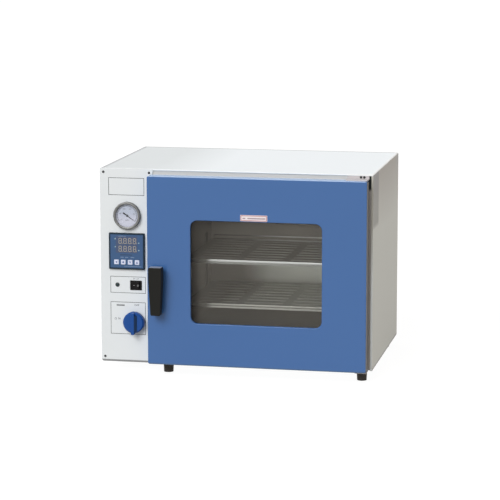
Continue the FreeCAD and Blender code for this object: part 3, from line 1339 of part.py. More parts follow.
def make_controller_fascia():
    """Face plate with its display opening and four key openings."""
    body = new_body("controller_fascia")
    half = "(control_size / 2 - control_rim - seat_gap / 3)"
    extrude(body, "plate", "XZ", "fascia_y", "fascia_y + fascia_thick", lambda s: draw_box(
        s, "control_x - " + half, "control_x + " + half, "control_z - " + half, "control_z + " + half))

    def openings(sketch):
        display_box(sketch, "0.1")
        reach = "(key_size / 2 + key_play)"
        for x in key_centres():
            draw_box(sketch, "%s - %s" % (x, reach), "%s + %s" % (x, reach),
                     "control_z - key_down - " + reach, "control_z - key_down + " + reach)
    extrude(body, "openings", "XZ", "fascia_y", "fascia_y + fascia_thick", openings, cut=True)
    return body


def make_display_window():
    """Tinted window over both rows of digits."""
    body = new_body("display_window")
    extrude(body, "window", "XZ", "fascia_y", "fascia_y + fascia_thick", display_box)
    return body


def make_controller_board():
    """Circuit board that the keys press on and the face plate stands on, with its four posts."""
    body = new_body("controller_board")
    half = "(control_size / 2 - control_rim - seat_gap)"
    extrude(body, "board", "XZ", "board_y", "board_y + board_thick", lambda s: draw_box(
        s, "control_x - " + half, "control_x + " + half, "control_z - " + half, "control_z + " + half))

    def posts(sketch):
        for x in ("control_x - %s + 5" % half, "control_x + %s - 5" % half):
            for z in ("control_z - %s + 5" % half, "control_z + %s - 5" % half):
                draw_circle(sketch, x, z, "2.5")
    extrude(body, "posts", "XZ", "fascia_y + fascia_thick", "board_y", posts)
    return body


def make_key(index, x):
    """Square key that slides in the face plate."""
    body = new_body("key_%d" % index)
    half = "key_size / 2"
    extrude(body, "cap", "XZ", "key_y", "key_y + key_deep", lambda s: draw_rounded(
        s, "%s - %s" % (x, half), "%s + %s" % (x, half),
        "control_z - key_down - " + half, "control_z - key_down + " + half, "1.5"))
    return body


# Mains switch and pilot lamp


def make_switch_body():
    """Rectangular bezel and body with a well for the rocker."""
    body = new_body("switch_body")
    wide = "switch_wide / 2"
    high = "switch_high / 2"
    lap = "(switch_lap + seat_gap / 3)"
    extrude(body, "bezel", "XZ", "front_y - switch_proud", "front_y", lambda s: draw_rounded(
        s, "switch_x - " + wide, "switch_x + " + wide, "switch_z - " + high, "switch_z + " + high,
        "(switch_lap * 0.75)"))
    soften(body, "bezel_edge", "switch_proud * 0.4", lambda e: near(e.BoundBox.YMin, "front_y - switch_proud")
           and near(e.BoundBox.YMax, "front_y - switch_proud"), kind="Chamfer")
    extrude(body, "block", "XZ", "front_y", "front_y + switch_deep", lambda s: draw_box(
        s, "switch_x - %s + %s" % (wide, lap), "switch_x + %s - %s" % (wide, lap),
        "switch_z - %s + %s" % (high, lap), "switch_z + %s - %s" % (high, lap)))
    bottom = "front_y + rocker_back + switch_well"
    extrude(body, "well", "XZ", "front_y - switch_proud", bottom, lambda s: draw_box(
        s, "switch_x - rocker_half - rocker_side", "switch_x + rocker_half + rocker_side",
        "switch_z - rocker_high / 2 - seat_gap", "switch_z + rocker_high / 2 + seat_gap"), cut=True)
    reach = "(rocker_high / 2 + rocker_side + seat_gap)"
    extrude(body, "pin_holes", "XY", "switch_z - " + reach, "switch_z + " + reach,
            lambda s: draw_circle(s, "switch_x", "front_y + rocker_back", "rocker_pin + run_clear"), cut=True)
    return body


def make_switch_rocker():
    """Dished rocker on its pins, drawn level about its pivot and tilted to off."""
    body = new_body("switch_rocker")
    body.Placement = FreeCAD.Placement(V(0, 0, 0), FreeCAD.Rotation(V(0, 0, 1), value("rest_turn")))
    bind(body, "Placement.Base.x", "switch_x")
    bind(body, "Placement.Base.y", "front_y + rocker_back")
    bind(body, "Placement.Base.z", "switch_z")
    bind(body, "Placement.Rotation.Angle", "rest_turn")
    extrude(body, "rocker", "XY", "-rocker_high / 2", "rocker_high / 2", lambda s: draw_polygon(s, [
        ("-rocker_half", "-rocker_rise"), ("0", "-rocker_dip"), ("rocker_half", "-rocker_rise"),
        ("rocker_half", "0"), ("rocker_half / 2", "3"), ("-rocker_half / 2", "3"), ("-rocker_half", "0")]))
    reach = "rocker_high / 2 + rocker_side"
    extrude(body, "pins", "XY", "-(%s)" % reach, reach, lambda s: draw_circle(s, "0", "0", "rocker_pin"))
    soften(body, "ends", "0.8", lambda e: runs_along(e, "z") and spot(e).y < value("-rocker_rise + 0.1"))
    return body


def make_pilot_lamp():
    """Domed lens on a threaded barrel with its nut behind the panel."""
    body = new_body("pilot_lamp")
    nut = "lamp_radius + lamp_nut_wall"
    turn(body, "lamp", "Y", ("left_x + lamp_in", "0", "switch_z"), [
        ("front_y - lamp_rise", "0"), ("front_y - lamp_rise * 0.87", "lamp_radius * 0.55"),
        ("front_y - lamp_rise * 0.4", "lamp_radius * 0.92"), ("front_y", "lamp_radius"),
        ("front_y", "lamp_barrel"), ("bay_front", "lamp_barrel"), ("bay_front", nut),
        ("bay_front + lamp_nut", nut), ("bay_front + lamp_nut", "lamp_barrel"),
        ("bay_front + lamp_long", "lamp_barrel"), ("bay_front + lamp_long", "0")])
    return body


# Vacuum valve and pipes


def make_valve_body():
    """Valve block behind the panel with a threaded neck and the shaft's bore."""
    body = new_body("valve_body")
    side = "valve_side / 2"
    rise = "valve_high / 2"
    extrude(body, "block", "XZ", "valve_y", "valve_y + valve_deep", lambda s: draw_rounded(
        s, "valve_x - " + side, "valve_x + " + side,
        "valve_z - " + rise, "valve_z + " + rise, "valve_round"))
    extrude(body, "neck", "XZ", "nut_y", "valve_y", lambda s: draw_circle(
        s, "valve_x", "valve_z", "valve_shaft + neck_wall"))
    extrude(body, "shaft_bore", "XZ", "nut_y", "valve_y + valve_bore", lambda s: draw_circle(
        s, "valve_x", "valve_z", "valve_shaft + run_clear"), cut=True)
    return body


def make_valve_nut():
    """Hexagon nut that clamps the valve to the panel."""
    body = new_body("valve_nut")
    half = "nut_size * 0.57735"

    def outline(sketch):
        draw_polygon(sketch, [
            ("valve_x - " + half, "valve_z - nut_size"), ("valve_x + " + half, "valve_z - nut_size"),
            ("valve_x + 2 * " + half, "valve_z"), ("valve_x + " + half, "valve_z + nut_size"),
            ("valve_x - " + half, "valve_z + nut_size"), ("valve_x - 2 * " + half, "valve_z")])
        draw_circle(sketch, "valve_x", "valve_z", "valve_shaft + neck_wall")
    extrude(body, "nut", "XZ", "nut_y", "front_y", outline)
    return body


def make_valve_knob():
    """Disc knob with a raised grip bar whose pointer runs past the rim, and its shaft."""
    body = new_body("valve_knob")
    centre = ("valve_x", "0", "valve_z")
    turn(body, "disc", "Y", centre, [
        ("knob_back", "0"), ("knob_back", "knob_radius"), ("knob_face + knob_edge", "knob_radius"),
        ("knob_face", "knob_radius - knob_edge"), ("knob_face", "0")])
    extrude(body, "grip", "XZ", "knob_face - grip_high", "knob_face + knob_edge + 1", lambda s: draw_rounded(
        s, "valve_x - grip_wide / 2", "valve_x + grip_wide / 2", "valve_z - knob_radius - grip_over",
        "valve_z + knob_radius - 1", "(grip_wide / 3)"))
    soften(body, "grip_edge", "1.5", lambda e: near(e.BoundBox.YMin, "knob_face - grip_high")
           and near(e.BoundBox.YMax, "knob_face - grip_high"))
    extrude(body, "shaft", "XZ", "knob_back", "valve_y + valve_bore - 2", lambda s: draw_circle(
        s, "valve_x", "valve_z", "valve_shaft"))
    return body


def make_vacuum_pipes():
    """Pipe from the valve to the rear nozzle with the gauge's tee block, and pipe to the chamber's port."""
    body = new_body("vacuum_pipes")
    turn(body, "rear_pipe", "Y", ("column_x", "0", "valve_z"), [
        ("valve_y + valve_deep", "pipe_bore"), ("valve_y + valve_deep", "pipe_radius"),
        ("back_y - case_wall - tail_in", "pipe_radius"), ("back_y - case_wall - tail_in", "pipe_bore")])
    extrude(body, "tee", "XZ", "tee_y - tee_half", "tee_y + tee_half", lambda s: (
        draw_box(s, "column_x - tee_half", "column_x + tee_half", "valve_z - tee_half", "valve_z + tee_half"),
        draw_circle(s, "column_x", "valve_z", "pipe_bore")))
    chamber_side = "door_mid - half_wide - chamber_wall"
    turn(body, "side_pipe", "X", ("0", "port_y", "valve_z"), [
        ("valve_x + valve_side / 2", "pipe_bore"), ("valve_x + valve_side / 2", "pipe_radius"),
        (chamber_side, "pipe_radius"), (chamber_side, "pipe_bore")])
    return body


def make_gauge_pipe():
    """Pipe that leaves the gauge's stem to the rear, bends down behind the controller and meets the tee."""
    body = new_body("gauge_pipe")
    start = "front_y + gauge_deep + stem_long"
    low = "valve_z + tee_half"
    route = new_sketch(body, "route", "YZ", offset="column_x")
    y0, z0, y1, z1, bend = (value(text) for text in (start, "gauge_z", "tee_y", low, "pipe_bend"))
    elbow = Part.Circle(V(y1 - bend, z0 - bend, 0), V(0, 0, 1), bend)
    level, arc, drop = route.addGeometry([
        Part.LineSegment(V(y0, z0, 0), V(y1 - bend, z0, 0)),
        Part.ArcOfCircle(elbow, 0, 1.5707963267948966),
        Part.LineSegment(V(y1, z0 - bend, 0), V(y1, z1, 0))], False)
    route.addConstraint([Sketcher.Constraint("Coincident", level, 2, arc, 2),
                         Sketcher.Constraint("Coincident", arc, 1, drop, 1)])
    hold_points(route, [(level, 1, start, "gauge_z"), (level, 2, "tee_y - pipe_bend", "gauge_z"),
                        (drop, 1, "tee_y", "gauge_z - pipe_bend"), (drop, 2, "tee_y", low)])
    number = route.addConstraint(Sketcher.Constraint("DistanceX", -1, 1, arc, 3, y1 - bend))
    bind(route, "Constraints[%d]" % number, "tee_y - pipe_bend")
    section = new_sketch(body, "section", "XZ", offset="-(%s)" % start)
    draw_circle(section, "column_x", "gauge_z", "pipe_radius")
    draw_circle(section, "column_x", "gauge_z", "pipe_bore")
    pipe = body.newObject("PartDesign::AdditivePipe", "pipe")
    pipe.Profile = section
    pipe.Spine = (route, [])
    body.Tip = pipe
    return body


def make_vacuum_nozzle():
    """Rear hose nozzle: flanged base on the panel, smooth tail for the hose and a lead-in."""
    body = new_body("vacuum_nozzle")
    inside = "back_y - case_wall - tail_in"
    turn(body, "nozzle", "Y", ("column_x", "0", "valve_z"), [
        (inside, "pipe_bore"), (inside, "pipe_radius + 1"), ("back_y", "pipe_radius + 1"),
        ("back_y", "nozzle_flange"), ("back_y + 3", "nozzle_flange"), ("back_y + 4", "nozzle_flange - 4"),
        ("back_y + nozzle_base", "nozzle_flange - 4"), ("back_y + nozzle_base", "pipe_radius"),
        ("back_y + nozzle_reach - 1.5", "pipe_radius"), ("back_y + nozzle_reach", "pipe_radius - 1"),
        ("back_y + nozzle_reach", "pipe_bore")])
    return body


# Electrical parts at the back


def make_power_inlet():
    """Flanged mains inlet with a recessed socket and three blades."""
    body = new_body("power_inlet")
    x = "left_x + inlet_in"
    z = "low_z + inlet_up"
    mouth = "back_y + inlet_plate"
    bottom = mouth + " - socket_deep"

    def sides(wide, high, wall="0"):
        return ("%s - %s / 2 - %s" % (x, wide, wall), "%s + %s / 2 + %s" % (x, wide, wall),
                "%s - %s / 2 - %s" % (z, high, wall), "%s + %s / 2 + %s" % (z, high, wall))
    extrude(body, "flange", "XZ", "back_y", mouth, lambda s: draw_rounded(
        s, *sides("inlet_wide", "inlet_high"), "blade_drop"))
    extrude(body, "box", "XZ", bottom + " - inlet_plate - 2", "back_y", lambda s: draw_box(
        s, *sides("socket_wide", "socket_high", "inlet_wall")))
    extrude(body, "socket", "XZ", bottom, mouth, lambda s: draw_box(
        s, *sides("socket_wide", "socket_high")), cut=True)

    def blades(sketch):
        for dx, dz in (("-blade_apart", "-blade_drop"), ("blade_apart", "-blade_drop"), ("0", "blade_drop")):
            draw_box(sketch, "%s + (%s) - blade_thin / 2" % (x, dx), "%s + (%s) + blade_thin / 2" % (x, dx),
                     "%s + (%s) - blade_high / 2" % (z, dz), "%s + (%s) + blade_high / 2" % (z, dz))
    extrude(body, "blades", "XZ", bottom, bottom + " + blade_long", blades)
    return body


def make_fuse_holder():
    """Round fuse holder over the inlet, with a coin slot in its cap."""
    body = new_body("fuse_holder")
    x = "left_x + inlet_in"
    z = "low_z + inlet_up + fuse_up"
    end = "back_y + fuse_proud"
    turn(body, "holder", "Y", (x, "0", z), [
        ("back_y - fuse_deep", "0"), ("back_y - fuse_deep", "fuse_barrel"), ("back_y", "fuse_barrel"),
        ("back_y", "fuse_brim"), ("back_y + fuse_slot", "fuse_brim"), ("back_y + fuse_slot", "fuse_radius"),
        (end, "fuse_radius"), (end, "0")])
    extrude(body, "coin_slot", "XZ", end + " - fuse_slot", end + " + 1", lambda s: draw_box(
        s, x + " - fuse_brim", x + " + fuse_brim", z + " - fuse_slot / 2", z + " + fuse_slot / 2"), cut=True)
    return body


def make_power_relay():
    """Relay on the bay's side of the partition, with a finned base."""
    body = new_body("power_relay")
    y = "front_y + relay_back + relay_rim"
    z = "low_z + relay_up + relay_rim"
    extrude(body, "base", "YZ", "bay_x - relay_foot", "bay_x", lambda s: draw_box(
        s, y + " - relay_rim", y + " + relay_wide + relay_rim",
        z + " - relay_rim", z + " + relay_high + relay_rim"))
    extrude(body, "block", "YZ", "bay_x - relay_deep", "bay_x - relay_foot", lambda s: draw_rounded(
        s, y, y + " + relay_wide", z, z + " + relay_high", "(relay_rim / 3)"))
    return body


# Feet and screws


def make_feet():
    """Four tapered rubber feet, recessed for their screws."""
    body = new_body("feet")
    for column, x in enumerate(("left_x + foot_left", "right_x - foot_right")):
        for row, y in enumerate(("front_y + foot_inset", "back_y - foot_inset")):
            turn(body, "foot_%d_%d" % (column, row), "Z", (x, y, "0"), [
                ("0", "foot_sink"), ("0", "foot_sole"), ("foot_high", "foot_radius"),
                ("foot_high", "foot_bore"), ("foot_high - foot_web", "foot_bore"),
                ("foot_high - foot_web", "foot_sink")])
    return body


def make_foot_screws():
    """Screws up through the feet into the base pan."""
    body = new_body("foot_screws")
    web = "foot_high - foot_web"
    extrude(body, "heads", "XY", web + " - foot_head", web, feet_circles("foot_sink - seat_gap"))
    extrude(body, "shanks", "XY", web, "foot_high + case_wall + foot_head", feet_circles("foot_shank"))
    return body


def make_panel_screws():
    """Four pan-head screws of the control panel."""
    body = new_body("panel_screws")
    extrude(body, "heads", "XZ", "front_y - screw_rise", "front_y", panel_screw_circles("screw_head"))
    shanks = panel_screw_circles("screw_radius - seat_gap / 3")
    extrude(body, "shanks", "XZ", "front_y", "front_y + screw_long", shanks)
    return body


make_outer_casing()
make_control_panel()
make_front_frame()
make_base_pan()
make_rear_panel()
make_bay_partition()
make_chamber()
make_chamber_seal()
make_insulation()
make_heater_plates()
make_chamber_rails()
make_shelf_rack("shelf_rack_left", "-")
make_shelf_rack("shelf_rack_right", "+")
make_shelf("shelf_lower", "shelf_low")
make_shelf("shelf_upper", "shelf_low + shelf_apart")
make_temperature_probe()
make_door_skin()
make_door_inner_frame()
make_door_glass()
make_glass_cushion()
make_glass_clamps()
make_window_pane()
make_pane_retainer()
make_door_bushes()
make_label_plate()
make_hinge_brackets()
make_hinge_screws()
make_latch_striker()
make_handle_shaft()
make_latch_cam()
make_door_handle()
make_gauge_case()
make_gauge_bezel()
make_gauge_dial()
make_gauge_lens()
make_gauge_needle()
make_controller_bezel()
make_controller_case()
make_controller_fascia()
make_display_window()
make_controller_board()
for index, x in enumerate(key_centres(), start=1):
    make_key(index, x)
make_switch_body()
make_switch_rocker()
make_pilot_lamp()
make_valve_body()
make_valve_nut()
make_valve_knob()
make_vacuum_pipes()
make_gauge_pipe()
make_vacuum_nozzle()
make_power_inlet()
make_fuse_holder()
make_power_relay()
make_feet()
make_foot_screws()
make_panel_screws()

doc.recompute()
os.makedirs("parts", exist_ok=True)
for item in doc.Objects:
    if "Invalid" in item.State or "Error" in item.State:
        raise RuntimeError("%s has failed: %s" % (item.FullName, item.State))
    if item.TypeId in ("PartDesign::Pocket", "PartDesign::Groove"):
        before = item.BaseFeature.Shape.Volume
        if item.Shape.Volume > before - 1e-4:
            raise RuntimeError("%s cuts nothing" % item.FullName)
for body in bodies:
    shape = body.Shape
    if shape.isNull() or not shape.isValid() or not shape.Solids:
        raise RuntimeError("%s has no sound shape" % body.Label)
    shape.exportStep("parts/%s.step" % body.Label)
print(len(bodies), "sub-parts written")
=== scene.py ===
import json
import math

import bmesh
import bpy
from mathutils import Matrix, Vector
from mathutils.bvhtree import BVHTree


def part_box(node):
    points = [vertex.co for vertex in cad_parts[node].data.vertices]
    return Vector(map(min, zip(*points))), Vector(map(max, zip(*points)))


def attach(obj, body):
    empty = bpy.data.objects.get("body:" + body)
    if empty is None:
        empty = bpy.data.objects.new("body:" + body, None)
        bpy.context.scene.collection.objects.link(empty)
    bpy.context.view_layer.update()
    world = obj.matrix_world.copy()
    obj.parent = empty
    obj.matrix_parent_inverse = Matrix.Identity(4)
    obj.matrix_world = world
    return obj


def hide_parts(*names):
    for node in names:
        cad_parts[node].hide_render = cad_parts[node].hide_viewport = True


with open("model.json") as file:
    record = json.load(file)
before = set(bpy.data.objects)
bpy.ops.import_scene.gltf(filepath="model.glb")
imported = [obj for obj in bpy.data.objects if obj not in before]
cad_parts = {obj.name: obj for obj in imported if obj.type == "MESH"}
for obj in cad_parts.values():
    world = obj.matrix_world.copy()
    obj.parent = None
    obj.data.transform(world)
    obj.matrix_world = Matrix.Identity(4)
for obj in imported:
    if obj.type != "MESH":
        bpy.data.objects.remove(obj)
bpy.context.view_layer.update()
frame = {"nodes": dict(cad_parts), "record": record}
scene = bpy.context.scene
bodyOf = {node: body for body, nodes in frame["record"]["behaviour"]["bodies"].items() for node in nodes}
slotOf = {row["node"]: row["material_slot"] for row in frame["record"]["subparts"]}
print("frame loaded:", len(frame["nodes"]), "nodes")


def mm(*values):
    return Vector(value * 0.001 for value in values)        # millimetres in, a point in metres out


def limits(node):                                           # a node's low and high corner, in mm
    return [corner * 1000 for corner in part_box(node)]


def middle(node):                                           # x and z of a node's middle, in mm
    low, high = limits(node)
    return (low.x + high.x) / 2, (low.z + high.z) / 2


def side(node, name):                                       # a side's axis, limit in mm and way inward
    low, high = limits(node)
    k = ("left", "front", "foot", "right", "back", "top").index(name)
    return (k, low[k], 1) if k < 3 else (k - 3, high[k - 3], -1)


# nodes, for materials and shapes

def feed(tree, socket, value):                              # a link or a plain value into a socket
    if isinstance(value, bpy.types.NodeSocket):
        tree.links.new(value, socket)
    else:
        socket.default_value = value


def addNode(tree, kind, settings=None, **values):
    node = tree.nodes.new(kind)
    for key, value in (settings or {}).items():
        setattr(node, key, value)
    for label, value in values.items():
        feed(tree, node.inputs[label.replace("_", " ")], value)
    return node


def addMath(tree, operation, first, second):
    node = addNode(tree, "ShaderNodeMath", {"operation": operation})
    feed(tree, node.inputs[0], first)
    feed(tree, node.inputs[1], second)
    return node.outputs[0]


def addVector(tree, x, y, z):
    return addNode(tree, "ShaderNodeCombineXYZ", X=x, Y=y, Z=z).outputs[0]


def addMix(tree, share, first, second):                     # first where share is 0, second where it is 1
    node = addNode(tree, "ShaderNodeMix", {"data_type": "RGBA"})
    for k, value in ((0, share), (6, first), (7, second)):
        feed(tree, node.inputs[k], value)
    return node.outputs[2]


# finishes

finish = {}                                                 # every material by its name
noiseSpan = (0.1, 0.9)                                      # the part of a noise's range that is used
enamelSkin = {"peel": 900, "height": 0.00004, "strength": 0.12, "cloud": 3.5, "faded": 0.965}
steelGrain = {"height": 0.00003, "strength": 0.25, "cloud": 0.6, "dull": 0.86,
              "smoother": 0.08, "rougher": 0.1}
mouldGrain = {"scale": 1400, "height": 0.00006, "cloud": 22, "smoother": 0.05, "rougher": 0.07}


def newMaterial(name, colour, roughness, metallic=0.0, gloss=0.5):
    material = bpy.data.materials.new(name)
    material.use_nodes = True
    shader = material.node_tree.nodes["Principled BSDF"]
    shader.inputs["Base Color"].default_value = (*colour, 1)
    shader.inputs["Roughness"].default_value = roughness
    shader.inputs["Metallic"].default_value = metallic
    shader.inputs["Specular IOR Level"].default_value = gloss
    finish[name] = material
    return material.node_tree, shader


def addNoise(tree, scale, stretch=(1, 1, 1), detail=3.0):
    place = tree.nodes.new("ShaderNodeTexCoord")
    turn = addNode(tree, "ShaderNodeMapping", Vector=place.outputs["Object"], Scale=stretch)
    noise = addNode(tree, "ShaderNodeTexNoise", Vector=turn.outputs["Vector"], Scale=scale, Detail=detail)
    return noise.outputs["Fac"]


def roughen(tree, shader, source, low, high):               # a roughness that wanders between two values
    fit = addNode(tree, "ShaderNodeMapRange", Value=source, From_Min=noiseSpan[0], From_Max=noiseSpan[1],
                  To_Min=low, To_Max=high)
    tree.links.new(fit.outputs["Result"], shader.inputs["Roughness"])


def tint(tree, shader, source, first, second):              # a colour that wanders between two colours
    ramp = addNode(tree, "ShaderNodeValToRGB", Fac=source)
    for stop, place, colour in zip(ramp.color_ramp.elements, noiseSpan, (first, second)):
        stop.position = place
        stop.color = (*colour, 1)
    tree.links.new(ramp.outputs["Color"], shader.inputs["Base Color"])


def emboss(tree, shader, source, height, strength):
    bump = addNode(tree, "ShaderNodeBump", Height=source, Distance=height, Strength=strength)
    tree.links.new(bump.outputs["Normal"], shader.inputs["Normal"])


def enamel(name, colour, roughness=0.34, gloss=0.35):       # sprayed and baked on sheet steel
    tree, shader = newMaterial(name, colour, roughness, gloss=gloss)
    peel = addNoise(tree, enamelSkin["peel"], detail=1.5)   # the fine orange peel of a spray gun
    emboss(tree, shader, peel, enamelSkin["height"], enamelSkin["strength"])
    faded = tuple(value * enamelSkin["faded"] for value in colour)
    tint(tree, shader, addNoise(tree, enamelSkin["cloud"], detail=2.0), faded, colour)


def brushed(name, colour, roughness, stretch, lines=260):   # the grain runs where stretch is small
    tree, shader = newMaterial(name, colour, roughness, 1.0)
    grain = addNoise(tree, lines, stretch, detail=4.0)
    emboss(tree, shader, grain, steelGrain["height"], steelGrain["strength"])
    roughen(tree, shader, grain, roughness - steelGrain["smoother"], roughness + steelGrain["rougher"])
    dull = tuple(value * steelGrain["dull"] for value in colour)
    tint(tree, shader, addNoise(tree, lines * steelGrain["cloud"], stretch, detail=3.0), dull, colour)


def moulded(name, colour, roughness=0.45, grain=0.0, gloss=0.5):
    tree, shader = newMaterial(name, colour, roughness, gloss=gloss)
    if grain:
        emboss(tree, shader, addNoise(tree, mouldGrain["scale"], detail=2.0), mouldGrain["height"], grain)
        low, high = roughness - mouldGrain["smoother"], roughness + mouldGrain["rougher"]
        roughen(tree, shader, addNoise(tree, mouldGrain["cloud"]), low, high)


def sheetGlass(name, colour, cover):                        # a thin smoky skin, and mostly what is behind
    shader = newMaterial(name, colour, 0.05)[1]
    shader.inputs["Alpha"].default_value = cover


enamel("whiteEnamel", (0.760, 0.795, 0.815))
enamel("frameEnamel", (0.775, 0.800, 0.815))
enamel("lipShade", (0.27, 0.275, 0.28), 0.5, 0.2)
enamel("caseEnamel", (0.750, 0.790, 0.805), 0.38)
# the casing's right side: its white enamel darker and warmer, painted shade
enamel("sideShadeEnamel", (0.635, 0.645, 0.590), 0.38)
enamel("blueEnamel", (0.051, 0.137, 0.350), 0.25, 0.42)
enamel("doorReturn", (0.235, 0.232, 0.235), 0.4, 0.2)
enamel("rearEnamel", (0.700, 0.715, 0.720), 0.42)
brushed("zincSheet", (0.52, 0.54, 0.55), 0.42, (1, 1, 1), 60)
brushed("chamberSteel", (0.43, 0.40, 0.35), 0.5, (0.05, 0.05, 1))
brushed("doorSteel", (0.60, 0.60, 0.58), 0.34, (0.05, 1, 1))
# the shelves' stainless steel as painted light and shade: a dark shaded copy for the trays and racks, and
# bright lit copies, painted highlights, for the front folds and the stop rail
brushed("shelfSteelShade", (0.21, 0.205, 0.18), 0.5, (0.05, 1, 1))
brushed("shelfFoldLit", (0.93, 0.96, 0.93), 0.5, (0.05, 1, 1))
brushed("shelfWireLit", (0.93, 0.95, 0.91), 0.35, (0.05, 1, 1))
brushed("brightPlate", (0.74, 0.75, 0.77), 0.3, (1, 0.1, 1))
enamel("hingePlate", (0.56, 0.53, 0.54), 0.5, 0.3)
brushed("turnedSteel", (0.60, 0.61, 0.61), 0.28, (0.1, 1, 1))
brushed("bronze", (0.60, 0.46, 0.26), 0.34, (1, 1, 0.1))
brushed("brassBar", (0.70, 0.53, 0.26), 0.32, (1, 0.1, 1))
brushed("copperTube", (0.72, 0.40, 0.27), 0.3, (1, 1, 1), 90)
brushed("clampSteel", (0.66, 0.67, 0.68), 0.32, (1, 1, 0.1))
moulded("redSilicone", (0.50, 0.14, 0.085), 0.62, 0.15, 0.3)
moulded("glassWool", (0.74, 0.65, 0.40), 0.95, 0.9, 0.1)
brushed("heaterPlate", (0.46, 0.46, 0.45), 0.5, (1, 1, 1), 40)
moulded("handleBlack", (0.0125, 0.0125, 0.011), 0.5, 0.2, 0.12)
# the handle's top faces: its black plastic lighter where light falls from above, a painted highlight
moulded("handleTopLit", (0.270, 0.290, 0.340), 0.4, 0.15, 0.5)
brushed("rimSteel", (0.190, 0.190, 0.185), 0.45, (1, 0.05, 1), 180)
moulded("blackEnamel", (0.02, 0.02, 0.02), 0.4)
moulded("dialWhite", (0.61, 0.63, 0.74), 0.5)
moulded("dialInk", (0.045, 0.048, 0.075), 0.6)
moulded("needleBlack", (0.004, 0.004, 0.005), 0.5, 0, 0.2)
moulded("bezelNavy", (0.011, 0.025, 0.042), 0.42, 0.1, 0.15)
moulded("fasciaBlue", (0.028, 0.084, 0.200), 0.3)
moulded("displayTint", (0.046, 0.073, 0.150), 0.3)
moulded("segmentAmber", (0.39, 0.35, 0.28), 0.5)
moulded("lampPale", (0.30, 0.42, 0.46), 0.4)
moulded("fasciaInk", (0.016, 0.030, 0.075), 0.5)
moulded("fasciaPale", (0.20, 0.28, 0.42), 0.5)
moulded("boardGreen", (0.03, 0.16, 0.06), 0.5)
moulded("keyPale", (0.66, 0.70, 0.86), 0.42)
moulded("keyInk", (0.10, 0.14, 0.34), 0.5)
moulded("switchBlack", (0.006, 0.005, 0.0055), 0.32, 0, 0.15)
moulded("switchMark", (0.34, 0.34, 0.34), 0.5)
moulded("lampGreen", (0.012, 0.030, 0.034), 0.2, 0, 0.3)
moulded("lampRing", (0.07, 0.075, 0.07), 0.3)
moulded("knobBlue", (0.009, 0.067, 0.275), 0.38, 0.06, 0.25)
# a dark strip beside the knob's grip, a painted shadow
moulded("knobGripShadow", (0.018, 0.048, 0.115), 0.4)
moulded("frameInk", (0.060, 0.065, 0.072), 0.6)
brushed("screwDark", (0.085, 0.085, 0.09), 0.34, (1, 1, 1), 500)
brushed("screwBright", (0.55, 0.56, 0.57), 0.3, (1, 1, 1), 500)
# near black: painted shade in the screws' cross recesses, and on the hinge screws
moulded("screwShade", (0.012, 0.012, 0.012), 0.7)
moulded("socketBlack", (0.018, 0.018, 0.018), 0.42, 0.2)
moulded("rubberBlack", (0.062, 0.054, 0.047), 0.68, 0.25, 0.3)
moulded("plateRose", (0.80, 0.73, 0.75), 0.42)
moulded("plateEdge", (0.42, 0.125, 0.13), 0.5)
moulded("plateInk", (0.24, 0.15, 0.19), 0.5)
sheetGlass("paneGlass", (0.205, 0.193, 0.170), 0.10)
sheetGlass("lensGlass", (0.40, 0.42, 0.46), 0.03)


# painted light and shade: highlights, reflections and shadows that the room's light gives a finish in places,
# each a colour, and bands in mm in from a piece's sides

